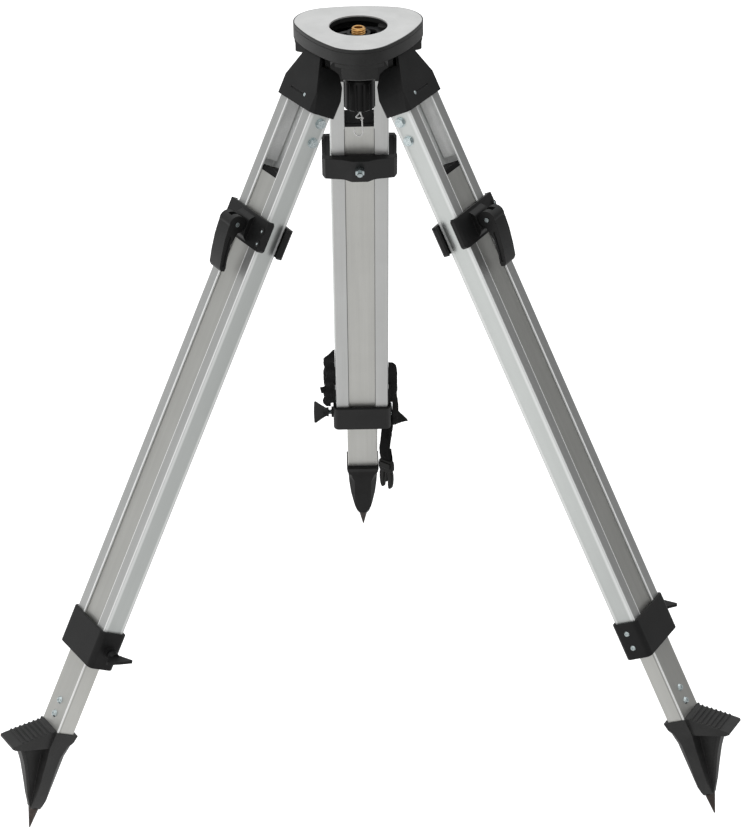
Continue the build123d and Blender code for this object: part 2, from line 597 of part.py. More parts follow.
# step pedal: a wedge with ridges across its upper face
def make_pedal():
    root_y, lip_y, lip_z = 12.4, 53.4, 818.2
    pedal = prism_x([(9.0, SHOE_Z - 2.0), (root_y, SHOE_Z), (lip_y, lip_z), (57.6, 821.0),
                     (57.0, 823.8), (52.0, 824.6), (9.0, 816.5)], -17.0, 17.0)
    run_y, run_z = lip_y - root_y, lip_z - SHOE_Z
    length = sqrt(run_y ** 2 + run_z ** 2)
    run_y, run_z = run_y / length, run_z / length
    ridge = [(-1.9, 0.0), (-0.7, 1.7), (0.7, 1.7), (1.9, 0.0)]     # along the face, height
    for k in range(7):
        centre = 6.0 + 5.6 * k
        pedal += prism_x([(root_y + run_y * (centre + along) + run_z * height,
                           SHOE_Z + run_z * (centre + along) - run_y * height)
                          for along, height in ridge], -16.6, 16.6)
    return pedal


def make_shoe():
    shoe = make_socket()
    shoe += make_pedal()
    # gusset under the pedal, and the flanges that edge it
    edge = [(39.4, 828.5), (27.0, 846.0), (16.8, 864.0), (6.0, 884.0)]      # y, z
    shoe += prism_x([(8.0, 812.0), (44.0, 820.0), *edge, (-3.6, SPIKE_Z), (-9.0, SPIKE_Z)],
                    -3.0, 3.0)
    flange = prism_x([(44.0, 820.0), *edge, (2.0, 884.0), (13.0, 864.0), (23.0, 846.0),
                      (34.4, 828.5), (37.0, 820.0)], -7.0, 7.0)
    shoe += flange & prism_y(mirrored([(7.0, 815.0), (7.0, 835.0), (3.4, 884.0)]), -60, 60)
    # socket for the tube, leaving a tongue that goes up inside it
    half_w, half_d = TUBE_HALF_W + 0.05, TUBE_HALF_D + 0.05
    shoe -= block(-half_w, half_w, -half_d, half_d, 700.0, TUBE_Z1 + 0.1)
    shoe += round_rect(TUBE_BORE_W - 0.2, TUBE_BORE_D - 0.2, 1.0, 752.0, TUBE_Z1 + 1.0)
    for z in SHOE_SCREW_STATIONS:
        shoe -= rod_y(2.02, 0, 12, 0, z)
    shoe -= rod_z(STEM_R + 0.02, 870.0, 910.0, 0, STEM_Y)
    return shoe


def make_spike():
    spike = loft([
        Plane(origin=(0, STEM_Y - 0.1, SPIKE_Z + 0.02), z_dir=(0, 0, 1)) * Circle(6.3),
        Plane(origin=(0, TIP_Y, TIP_Z), z_dir=(0, 0, 1)) * Circle(0.7),
    ])
    spike += rod_z(STEM_R, 872.0, SPIKE_Z + 0.1, 0, STEM_Y)
    return spike


# cross-slotted screws through the tube's outer face
def make_shoe_screws():
    out = []
    for z in SHOE_SCREW_STATIONS:
        seat = Plane(origin=(0, TUBE_HALF_D + 0.01, z), z_dir=(0, 1, 0))
        head = seat * Pos(0, 0, 1.1) * Cone(4.4, 3.0, 2.2)
        slot = Plane(origin=(0, TUBE_HALF_D + 2.3, z), z_dir=(0, 1, 0))
        for turn in (20.0, 110.0):
            head -= slot * Rot(0, 0, turn) * Box(4.2, 0.9, 1.6)
        out.append(head + rod_y(2.0, 2.0, TUBE_HALF_D + 0.02, 0, z))
    return out


# webbing: a band across the outer side, a fold down each side, a flap on the -X side,
# and a tail with its buckle that hangs straight down in the world
def make_carry_strap():
    band = block(-44.5, 44.5, STRAP_Y0, STRAP_Y1, 612.0, 652.0)
    plus_fold = block(38.2, 44.5, -4.0, STRAP_Y1, 598.0, 656.0)
    minus_fold = block(-45.5, -38.8, -8.0, STRAP_Y1, 612.0, 718.0)
    flap = prism_z([(-45.0, 14.0), (-45.0, 20.0), (-62.0, 20.0), (-62.0, 17.0)], 690.0, 706.0)
    strap = band + plus_fold + minus_fold + flap
    spread = radians(LEG_SPREAD)
    hang = Plane(origin=(-34.0, 6.0, 704.0), x_dir=(1, 0, 0),
                 z_dir=(0, -sin(spread), cos(spread)))
    tail = hang * Pos(0.0, 0, 57.0) * Box(20.0, 5.0, 108.0)
    buckle = hang * Pos(0.5, 0, 84.0) * Box(18.6, 9.0, 42.0)
    return strap + (tail + buckle)


# ---------------------------------------------------------------------- build
save("head_plate", make_head_plate())
save("head_body", make_head_body())
save("hinge_pins", *[make_hinge_pin(azimuth) for azimuth, _, _ in LEGS.values()])
save("screw_arm", make_screw_arm())
save("screw_bush", make_screw_bush())
save("fixing_screw", make_fixing_screw())
save("screw_knob", make_screw_knob())
save("plumb_hook", make_plumb_hook())

for leg, (azimuth, cap_side, wing_turn) in LEGS.items():
    place = leg_frame(azimuth)
    parts = {
        "cap": [make_cap(cap_side)],
        "cap_insert": [make_cap_insert()],
        "rail_a": [make_rail(1)],
        "rail_b": [make_rail(-1)],
        "rail_bolts": make_rail_bolts(),
        "collar": [make_collar()],
        "collar_rivets": make_collar_rivets(),
        "wing_screw": [make_wing_screw(wing_turn)],
        "tube": [make_tube()],
        "tube_plug": [make_tube_plug()],
        "jaw_outer": [make_jaw_outer()],
        "jaw_inner": [make_jaw_inner()],
        "clamp_bolt": [make_clamp_bolt()],
        "clamp_lever": [make_clamp_lever()],
        "shoe": [make_shoe()],
        "spike": [make_spike()],
        "shoe_screws": make_shoe_screws(),
    }
    for part, shapes in parts.items():
        save(leg + "_" + part, *[place * shape for shape in shapes])

save("carry_strap", leg_frame(LEGS["rear"][0]) * make_carry_strap())
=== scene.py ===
import bpy
import bmesh
import json
import math
from mathutils import Matrix, Vector, noise


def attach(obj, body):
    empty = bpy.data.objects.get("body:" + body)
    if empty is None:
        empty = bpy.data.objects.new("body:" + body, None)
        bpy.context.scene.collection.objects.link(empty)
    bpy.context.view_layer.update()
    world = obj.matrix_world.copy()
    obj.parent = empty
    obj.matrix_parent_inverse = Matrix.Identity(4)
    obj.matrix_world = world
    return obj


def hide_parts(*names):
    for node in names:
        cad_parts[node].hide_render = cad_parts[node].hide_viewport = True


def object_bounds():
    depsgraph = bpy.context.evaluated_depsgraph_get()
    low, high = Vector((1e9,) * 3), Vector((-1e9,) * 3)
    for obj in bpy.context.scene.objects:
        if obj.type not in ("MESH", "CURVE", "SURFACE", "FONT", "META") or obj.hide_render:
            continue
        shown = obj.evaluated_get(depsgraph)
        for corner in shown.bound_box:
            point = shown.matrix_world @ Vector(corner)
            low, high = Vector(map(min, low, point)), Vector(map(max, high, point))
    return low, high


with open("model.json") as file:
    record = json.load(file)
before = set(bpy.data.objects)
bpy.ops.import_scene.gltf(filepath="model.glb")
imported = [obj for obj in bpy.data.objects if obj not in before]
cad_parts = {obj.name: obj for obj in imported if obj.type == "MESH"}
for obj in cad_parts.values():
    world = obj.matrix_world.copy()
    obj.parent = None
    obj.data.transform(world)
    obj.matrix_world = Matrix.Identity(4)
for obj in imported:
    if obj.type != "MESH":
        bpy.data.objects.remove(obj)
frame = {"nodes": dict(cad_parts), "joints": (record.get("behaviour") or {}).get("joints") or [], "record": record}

CAD_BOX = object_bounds()
NODES = frame["nodes"]
REC = frame["record"]
JOINTS = {j["name"]: j for j in frame["joints"]}
SLOT_OF = {s["node"]: s["material_slot"] for s in REC["subparts"]}
SCENE = bpy.context.scene
MM = 0.001

# studio light levels
FLOOR_LEFT, FLOOR_MID, FLOOR_RIGHT, FLOOR_CAMERA = 1.05, 0.68, 0.60, 0.70
WALL_LEFT, WALL_RIGHT, CEILING = 0.48, 0.12, 0.84
KEY_W, FILL_W, TOP_W = 8.5, 1.5, 9.5


# ------------------------------------------------------------------ leg frames
# Each leg has its own axes: t across the leg, n outward from it, s down it.
class Leg:
    def __init__(self, name):
        self.name = name
        fold, ext = JOINTS[name + "_fold"], JOINTS[name + "_extend"]
        self.o = Vector(fold["pos_m"])
        self.t = -Vector(fold["axis"]).normalized()
        self.s = Vector(ext["axis"]).normalized()
        self.n = self.s.cross(self.t).normalized()

    def at(self, t, n, s):
        return self.o + (self.t * t + self.n * n + self.s * s) * MM

    def matrix(self):
        m = Matrix.Identity(4)
        for i in range(3):
            m[i][0], m[i][1], m[i][2], m[i][3] = self.t[i] * MM, self.n[i] * MM, self.s[i] * MM, self.o[i]
        return m


LEGS = {k: Leg(k) for k in ("left", "right", "rear")}


def leg_of(node):
    for k, leg in LEGS.items():
        if node.startswith(k + "_"):
            return leg
    return None


# -------------------------------------------------------------- node shortcuts
class Net:
    """One material's node tree, with short calls for the nodes used below."""

    def __init__(self, name):
        self.mat = bpy.data.materials.new(name)
        self.mat.use_nodes = True
        self.nt = self.mat.node_tree
        self.nt.nodes.clear()
        self.out = self.nt.nodes.new("ShaderNodeOutputMaterial")
        self.bsdf = self.nt.nodes.new("ShaderNodeBsdfPrincipled")
        self.nt.links.new(self.bsdf.outputs[0], self.out.inputs[0])

    def put(self, socket, value):
        if isinstance(value, bpy.types.NodeSocket):
            self.nt.links.new(value, socket)
        elif isinstance(value, (tuple, list, Vector)):
            v = list(value)
            n = len(socket.default_value)
            socket.default_value = (v + [1.0])[:n] if len(v) < n else v[:n]
        else:
            socket.default_value = value

    def node(self, kind, ins=None, **attrs):
        nd = self.nt.nodes.new(kind)
        for k, v in attrs.items():
            setattr(nd, k, v)
        for k, v in (ins or {}).items():
            self.put(nd.inputs[k], v)
        return nd

    def math(self, op, a, b=None, c=None, clamp=False):
        nd = self.node("ShaderNodeMath", operation=op, use_clamp=clamp)
        self.put(nd.inputs[0], a)
        if b is not None:
            self.put(nd.inputs[1], b)
        if c is not None:
            self.put(nd.inputs[2], c)
        return nd.outputs[0]

    def vec(self, op, a, b=None):
        nd = self.node("ShaderNodeVectorMath", operation=op)
        self.put(nd.inputs[0], a)
        if b is not None:
            if op == "SCALE":
                self.put(nd.inputs[3], b)
            else:
                self.put(nd.inputs[1], b)
        return nd.outputs[1] if op in ("DOT_PRODUCT", "LENGTH") else nd.outputs[0]

    def split(self, v):
        nd = self.node("ShaderNodeSeparateXYZ", {0: v})
        return nd.outputs[0], nd.outputs[1], nd.outputs[2]

    def join(self, x, y, z):
        return self.node("ShaderNodeCombineXYZ", {0: x, 1: y, 2: z}).outputs[0]

    def noise(self, v, scale=1.0, detail=3.0, rough=0.5, distort=0.0):
        nd = self.node("ShaderNodeTexNoise", {"Vector": v, "Scale": scale, "Detail": detail, "Roughness": rough,
                                              "Distortion": distort})
        return nd.outputs[0]

    def ramp(self, fac, *stops):
        nd = self.node("ShaderNodeValToRGB", {0: fac})
        el = nd.color_ramp.elements
        while len(el) < len(stops):
            el.new(0.5)
        for e, (p, c) in zip(el, stops):
            e.position = p
            e.color = (c[0], c[1], c[2], 1) if isinstance(c, (tuple, list)) else (c, c, c, 1)
        return nd.outputs[0]

    def remap(self, v, a, b, c, d, smooth=False):
        nd = self.node("ShaderNodeMapRange", {0: v, 1: a, 2: b, 3: c, 4: d},
                       interpolation_type="SMOOTHSTEP" if smooth else "LINEAR")
        return nd.outputs[0]

    def mix(self, fac, a, b):
        nd = self.nt.nodes.new("ShaderNodeMix")
        nd.data_type = "RGBA"
        self.put(nd.inputs[0], fac)
        self.put(nd.inputs[6], a)
        self.put(nd.inputs[7], b)
        return nd.outputs[2]

    def bump(self, height, strength, distance, normal=None):
        nd = self.node("ShaderNodeBump", {"Height": height, "Strength": strength, "Distance": distance})
        if normal is not None:
            self.put(nd.inputs["Normal"], normal)
        return nd.outputs[0]

    def here(self, leg=None):
        """Place on the piece in millimetres: along a leg's t, n, s, or along x, y, z for the head."""
        p = self.node("ShaderNodeTexCoord").outputs["Object"]
        if leg is None:
            return self.vec("SCALE", p, 1000.0)
        d = self.vec("SUBTRACT", p, leg.o)
        return self.join(self.vec("DOT_PRODUCT", d, leg.t * 1000.0), self.vec("DOT_PRODUCT", d, leg.n * 1000.0),
                         self.vec("DOT_PRODUCT", d, leg.s * 1000.0))

    def set(self, **values):
        for k, v in values.items():
            self.put(self.bsdf.inputs[k.replace("_", " ")], v)

    def edges(self, radius=0.0006, samples=4):
        """Rounded normal, and a mask that is 1 on the edges."""
        b = self.node("ShaderNodeBevel", {"Radius": radius}, samples=samples).outputs[0]
        g = self.node("ShaderNodeNewGeometry").outputs["Normal"]
        dot = self.vec("DOT_PRODUCT", b, g)
        return b, self.math("SUBTRACT", 1.0, dot, clamp=True)


# ------------------------------------------------------------------- materials
def mat_anodised(name, leg, tube=False):
    """Extruded, etched and clear-anodised aluminium: die lines down the leg, fine matt grain, soft tone changes."""
    m = Net(name)
    p = m.here(leg)
    t, n, s = m.split(p)
    lines = m.noise(m.join(m.math("MULTIPLY", t, 1.9), m.math("MULTIPLY", n, 1.9), m.math("MULTIPLY", s, 0.006)),
                    1.0, 5.0, 0.62)
    wide = m.noise(m.join(m.math("MULTIPLY", t, 0.10), m.math("MULTIPLY", n, 0.10), m.math("MULTIPLY", s, 0.004)),
                   1.0, 2.0, 0.5)
    grain = m.noise(p, 3.2, 3.0, 0.65)
    cloud = m.noise(p, 0.02, 3.0, 0.55)
    tone = m.math("ADD", m.math("MULTIPLY", lines, 0.40), m.math("ADD", m.math("MULTIPLY", wide, 0.35),
                                                                 m.math("MULTIPLY", cloud, 0.25)))
    base = m.ramp(tone, (0.30, (0.585, 0.590, 0.580)), (0.52, (0.650, 0.655, 0.645)), (0.72, (0.715, 0.722, 0.715)))
    # handling marks: sparse, short, faint scuffs, more of them on the sliding tube
    scuff = m.noise(m.join(m.math("MULTIPLY", t, 0.55), m.math("MULTIPLY", n, 0.55), m.math("MULTIPLY", s, 0.05)),
                    1.0, 6.0, 0.75, 0.6)
    scuff = m.ramp(scuff, (0.60 if tube else 0.64, 0.0), (0.72, 1.0))
    base = m.mix(m.math("MULTIPLY", scuff, 0.30 if tube else 0.16), base, (0.44, 0.45, 0.445))
    at, an = m.math("ABSOLUTE", t), m.math("ABSOLUTE", n)
    metallic = 0.88
    # painted shade: the outer faces of the left and right legs are toned down, in place of the darker surroundings that
    # they mirror
    painted_shade_scale = {"left": 0.80, "right": 0.66}.get(leg.name, 1.0)
    front = m.math("MULTIPLY", m.remap(n, 7.0, 7.6, 0.0, 1.0, True), m.remap(at, 32.6, 31.8, 0.0, 1.0, True))
    base = m.node("ShaderNodeMix", {6: base, 7: (painted_shade_scale, painted_shade_scale, painted_shade_scale), 0: front}, data_type="RGBA", blend_type="MULTIPLY").outputs[2]
    if tube:
        # the inner tube is a warmer, slightly duller grey
        base = m.node("ShaderNodeMix", {6: base, 7: (0.985, 0.975, 0.945), 0: 1.0}, data_type="RGBA", blend_type="MULTIPLY").outputs[2]
        # painted highlight along the tube's outer corners: lighter colour and less metallic
        corner = m.math("MULTIPLY", m.remap(at, 17.7, 18.2, 0.0, 1.0, True), m.remap(n, 9.0, 9.6, 0.0, 1.0, True))
        base = m.mix(m.math("MULTIPLY", corner, 0.9), base, (1.0, 1.0, 0.99))
        metallic = m.math("SUBTRACT", 0.88, m.math("MULTIPLY", corner, 0.75))
    else:
        # side walls: a cool tint that is a painted reflection; outer lips and corners: painted highlights; slot edges
        # on the inner side: painted shade
        side = m.remap(at, 31.6, 33.0, 0.0, 1.0, True)
        base = m.mix(m.math("MULTIPLY", side, 0.5), base, (0.635, 0.675, 0.655))
        outer = m.math("GREATER_THAN", n, 0.0)
        face = m.remap(an, 11.6, 12.5, 0.0, 1.0)
        # painted highlight on the outer lip edges and corners: lighter colour, less metallic
        lip_highlight = m.math("MULTIPLY", m.math("MULTIPLY", m.remap(at, 18.5, 17.7, 0.0, 1.0, True), face), outer)
        corner = m.math("MULTIPLY", m.math("MULTIPLY", m.remap(at, 30.9, 31.4, 0.0, 1.0, True),
                                           m.remap(at, 33.0, 32.5, 0.0, 1.0, True)), m.math("MULTIPLY", face, outer))
        edge = m.math("MAXIMUM", lip_highlight, m.math("MULTIPLY", corner, 0.8))
        base = m.mix(m.math("MULTIPLY", edge, 0.95), base, (1.0, 1.0, 0.995))
        metallic = m.math("SUBTRACT", 0.88, m.math("MULTIPLY", edge, 0.80))
        # painted shade: near-black lines along the slot edges on the inner side, where the gap between lip and tube
        # lies in shade
        inner = m.math("MULTIPLY", m.math("SUBTRACT", 1.0, outer), m.remap(at, 17.55, 17.25, 0.0, 1.0, True))
        inner = m.math("MULTIPLY", inner, m.math("GREATER_THAN", s, 118.0))
        base = m.mix(m.math("MULTIPLY", inner, 0.80), base, (0.10, 0.10, 0.10))
        # painted light: the rail's inside is made near-white and less metallic so that it reads bright though it lies
        # in shade
        hollow = m.math("MULTIPLY", m.remap(at, 33.3, 33.0, 0.0, 1.0, True), m.remap(an, 11.9, 11.5, 0.0, 1.0, True))
        base = m.mix(m.math("MULTIPLY", hollow, 0.85), base, (0.93, 0.94, 0.93))
        metallic = m.math("SUBTRACT", metallic, m.math("MULTIPLY", hollow, 0.70))
    rough = m.remap(m.math("ADD", m.math("MULTIPLY", lines, 0.6), m.math("MULTIPLY", grain, 0.4)), 0.3, 0.7, 0.33, 0.47)
    rough = m.math("ADD", rough, m.math("MULTIPLY", scuff, 0.08))
    height = m.math("ADD", m.math("MULTIPLY", lines, 1.0), m.math("MULTIPLY", grain, 0.55))
    m.set(Base_Color=base, Metallic=metallic, Roughness=rough, Normal=m.bump(height, 0.5, 0.00003))
    m.put(m.bsdf.inputs["Anisotropic"], 0.35)
    tan = m.node("ShaderNodeVectorTransform", {0: leg.s}, vector_type="VECTOR", convert_from="OBJECT", convert_to="WORLD")
    m.put(m.bsdf.inputs["Tangent"], tan.outputs[0])
    return m.mat


def mat_facing():
    """The head's facing: fine satin aluminium, faintly pebbled, with a few light rub marks from instruments."""
    m = Net("facing_aluminium_satin")
    p = m.here()
    x, y, z = m.split(p)
    grain = m.noise(p, 2.6, 4.0, 0.7)
    fine = m.noise(p, 9.0, 2.0, 0.5)
    cloud = m.noise(p, 0.030, 3.0, 0.55)
    # rub rings left by tribrach feet, centred on the screw
    r = m.math("SQRT", m.math("ADD", m.math("MULTIPLY", x, x), m.math("MULTIPLY", y, y)))
    ring = m.noise(m.join(m.math("MULTIPLY", r, 1.4), m.math("MULTIPLY", m.math("ARCTAN2", y, x), 1.2), 0.0), 1.0, 5.0, 0.7)
    rub = m.math("MULTIPLY", m.ramp(ring, (0.52, 0.0), (0.70, 1.0)), m.ramp(cloud, (0.42, 0.0), (0.60, 1.0)))
    base = m.ramp(m.math("ADD", m.math("MULTIPLY", grain, 0.45), m.math("MULTIPLY", cloud, 0.55)),
                  (0.34, (0.66, 0.66, 0.655)), (0.52, (0.735, 0.735, 0.73)), (0.68, (0.79, 0.79, 0.785)))
    base = m.mix(m.math("MULTIPLY", rub, 0.25), base, (0.86, 0.86, 0.86))
    rough = m.remap(grain, 0.3, 0.7, 0.46, 0.62)
    rough = m.math("SUBTRACT", rough, m.math("MULTIPLY", rub, 0.12))
    height = m.math("ADD", m.math("MULTIPLY", grain, 1.0), m.math("MULTIPLY", fine, 0.4))
    m.set(Base_Color=base, Metallic=0.62, Roughness=rough, Normal=m.bump(height, 0.45, 0.00005))
    return m.mat


def mat_cast(name, leg):
    """Raw cast aluminium of the hinge blocks: pebbled, duller."""
    m = Net(name)
    p = m.here(leg)
    grain = m.noise(p, 0.9, 5.0, 0.65)
    cloud = m.noise(p, 0.05, 3.0, 0.5)
    base = m.ramp(m.math("ADD", m.math("MULTIPLY", grain, 0.5), m.math("MULTIPLY", cloud, 0.5)),
                  (0.32, (0.66, 0.665, 0.66)), (0.66, (0.84, 0.845, 0.835)))
    m.set(Base_Color=base, Metallic=0.35, Roughness=m.remap(grain, 0.3, 0.7, 0.42, 0.60),
          Normal=m.bump(grain, 0.6, 0.00018))
    return m.mat


def mat_black(name, leg, tone=0.020, tint=(1.0, 1.0, 1.02), grain_mm=0.55, rough=(0.44, 0.58), bump=0.00007,
              edge=0.0006, edge_wear_and_highlight=0.35, spec=0.24, coat=0.0, streak=None):
    """Black moulded or coated parts: fine spark-eroded grain, faint dust in the lows, edges a little lighter, partly
    from rubbing and partly as a painted highlight.
    """
    m = Net(name)
    p = m.here(leg)
    grain = m.noise(p, 1.0 / grain_mm, 4.0, 0.6)
    cell = m.node("ShaderNodeTexVoronoi", {"Vector": p, "Scale": 0.9 / grain_mm, "Randomness": 1.0},
                  feature="F1").outputs["Distance"]
    cloud = m.noise(p, 0.045, 4.0, 0.6)
    mottle = m.noise(p, 0.35, 4.0, 0.65)
    normal, edges = m.edges(edge)
    k = m.math("ADD", m.math("MULTIPLY", cloud, 0.6), m.math("MULTIPLY", mottle, 0.4))
    lo, hi = tone * 0.72, tone * 1.35
    base = m.ramp(k, (0.34, tuple(lo * c for c in tint)), (0.66, tuple(hi * c for c in tint)))
    # light scuffs on the high grain; lighter edges that are partly rubbed wear and partly a painted highlight
    scr = m.ramp(m.noise(p, 0.22, 7.0, 0.8, 0.8), (0.60, 0.0), (0.74, 1.0))
    rub = m.ramp(m.math("MULTIPLY", edges, m.math("ADD", m.math("MULTIPLY", mottle, 1.3), 0.25)), (0.03, 0.0), (0.30, 1.0))
    base = m.mix(m.math("MULTIPLY", rub, edge_wear_and_highlight), base, tuple(tone * 4.2 * c for c in tint))
    base = m.mix(m.math("MULTIPLY", scr, 0.16), base, tuple(tone * 3.0 * c for c in tint))
    r = m.remap(m.math("ADD", m.math("MULTIPLY", grain, 0.5), m.math("MULTIPLY", mottle, 0.5)), 0.32, 0.68, rough[0], rough[1])
    r = m.math("SUBTRACT", r, m.math("MULTIPLY", rub, 0.06))
    h = m.math("ADD", m.math("MULTIPLY", grain, 0.7), m.math("MULTIPLY", cell, 0.5))
    if streak == "s":
        t_, n_, s_ = m.split(p)
        draw = m.noise(m.join(m.math("MULTIPLY", t_, 1.6), m.math("MULTIPLY", n_, 1.6), m.math("MULTIPLY", s_, 0.08)), 1.0, 3.0, 0.6)
        h = m.math("ADD", h, m.math("MULTIPLY", draw, 0.8))
    m.set(Base_Color=base, Metallic=0.0, Roughness=r, Normal=m.bump(h, 0.55, bump, normal))
    m.put(m.bsdf.inputs["Specular IOR Level"], spec)
    m.put(m.bsdf.inputs["Coat Weight"], coat)
    m.put(m.bsdf.inputs["Coat Roughness"], 0.32)
    return m.mat


def mat_metal(name, leg, dark, light, rough=(0.22, 0.38), grain=2.2, bump=0.00003, metallic=1.0, edge=0.0003, tint=None):
    """Plated or bare steel: tiny pitting, cloudy passivation, edges brighter."""
    m = Net(name)
    p = m.here(leg)
    g = m.noise(p, grain, 5.0, 0.65)
    cloud = m.noise(p, 0.30, 4.0, 0.6)
    normal, edges = m.edges(edge)
    base = m.ramp(m.math("ADD", m.math("MULTIPLY", g, 0.45), m.math("MULTIPLY", cloud, 0.55)), (0.34, dark), (0.66, light))
    if tint is not None:
        base = m.mix(m.ramp(m.noise(p, 0.55, 3.0, 0.6), (0.46, 0.0), (0.62, 0.6)), base, tint)
    base = m.mix(m.math("MULTIPLY", edges, 0.8, clamp=True), base, tuple(min(1.0, c * 1.25) for c in light))
    m.set(Base_Color=base, Metallic=metallic, Roughness=m.remap(g, 0.3, 0.7, rough[0], rough[1]),
          Normal=m.bump(g, 0.5, bump, normal))
    return m.mat


def mat_brass():
    """Turned brass: fine lathe rings, warm highlights, browned thread roots."""
    m = Net("brass_turned")
    p = m.here()
    x, y, z = m.split(p)
    r = m.math("SQRT", m.math("ADD", m.math("MULTIPLY", x, x), m.math("MULTIPLY", y, y)))
    rings = m.noise(m.join(m.math("MULTIPLY", r, 5.0), 0.0, m.math("MULTIPLY", z, 5.0)), 1.0, 4.0, 0.6)
    cloud = m.noise(p, 0.4, 4.0, 0.6)
    root = m.remap(r, 6.6, 7.7, 1.0, 0.0, True)
    thread = m.math("MULTIPLY", root, m.math("MULTIPLY", m.math("LESS_THAN", z, -2.9), m.math("GREATER_THAN", z, -14.0)))
    thread = m.math("MULTIPLY", thread, m.math("GREATER_THAN", r, 5.5))
    bore = m.math("LESS_THAN", r, 4.6)
    base = m.ramp(m.math("ADD", m.math("MULTIPLY", rings, 0.4), m.math("MULTIPLY", cloud, 0.6)),
                  (0.34, (0.56, 0.29, 0.085)), (0.52, (0.74, 0.42, 0.15)), (0.68, (0.86, 0.55, 0.25)))
    base = m.mix(m.math("MULTIPLY", m.math("MAXIMUM", thread, bore), 0.75), base, (0.22, 0.095, 0.022))
    m.set(Base_Color=base, Metallic=0.95, Roughness=m.remap(rings, 0.3, 0.7, 0.20, 0.36),
          Normal=m.bump(rings, 0.4, 0.00003))
    return m.mat


def mat_webbing(name, tone=0.0055):
    """Woven nylon: herringbone ribs from the ribbon's own across/along lengths (mm), fuzz and a dull sheen."""
    m = Net(name)
    uv = m.node("ShaderNodeUVMap", uv_map="ribbon").outputs[0]
    u, v, _ = m.split(uv)
    # 1.1 mm ribs across, 0.75 mm pitch along, turned each way on alternate ribs
    col = m.math("DIVIDE", u, 1.1)
    side = m.math("SUBTRACT", m.math("MULTIPLY", m.math("MODULO", m.math("FLOOR", col), 2.0), 2.0), 1.0)
    fr = m.math("FRACT", col)
    ribs = m.math("SINE", m.math("MULTIPLY", fr, math.pi))
    slant = m.math("ADD", m.math("DIVIDE", v, 0.75), m.math("MULTIPLY", m.math("MULTIPLY", fr, side), 0.8))
    yarn = m.math("ADD", m.math("MULTIPLY", m.math("SINE", m.math("MULTIPLY", slant, 2 * math.pi)), 0.5), 0.5)
    weave = m.math("MULTIPLY", m.math("POWER", m.math("MAXIMUM", ribs, 0.0), 0.6), m.math("ADD", m.math("MULTIPLY", yarn, 0.7), 0.3))
    p = m.here()
    fuzz = m.noise(p, 3.5, 4.0, 0.7)
    dust = m.noise(p, 0.06, 4.0, 0.6)
    base = m.ramp(m.math("ADD", m.math("MULTIPLY", weave, 0.55), m.math("ADD", m.math("MULTIPLY", fuzz, 0.25),
                                                                        m.math("MULTIPLY", dust, 0.35))),
                  (0.22, (tone * 0.35,) * 3), (0.62, (tone, tone, tone * 1.03)), (0.95, (tone * 2.3,) * 3))
    h = m.math("ADD", weave, m.math("MULTIPLY", fuzz, 0.3))
    m.set(Base_Color=base, Roughness=m.remap(fuzz, 0.3, 0.7, 0.66, 0.86), Normal=m.bump(h, 0.75, 0.00022))
    m.put(m.bsdf.inputs["Sheen Weight"], 0.03)
    m.put(m.bsdf.inputs["Sheen Roughness"], 0.5)
    m.put(m.bsdf.inputs["Specular IOR Level"], 0.12)
    return m.mat


def dress(obj, mat):
    obj.data.materials.clear()
    obj.data.materials.append(mat)


MATS = {}


def once(key, make):
    if key not in MATS:
        MATS[key] = make()
    return MATS[key]


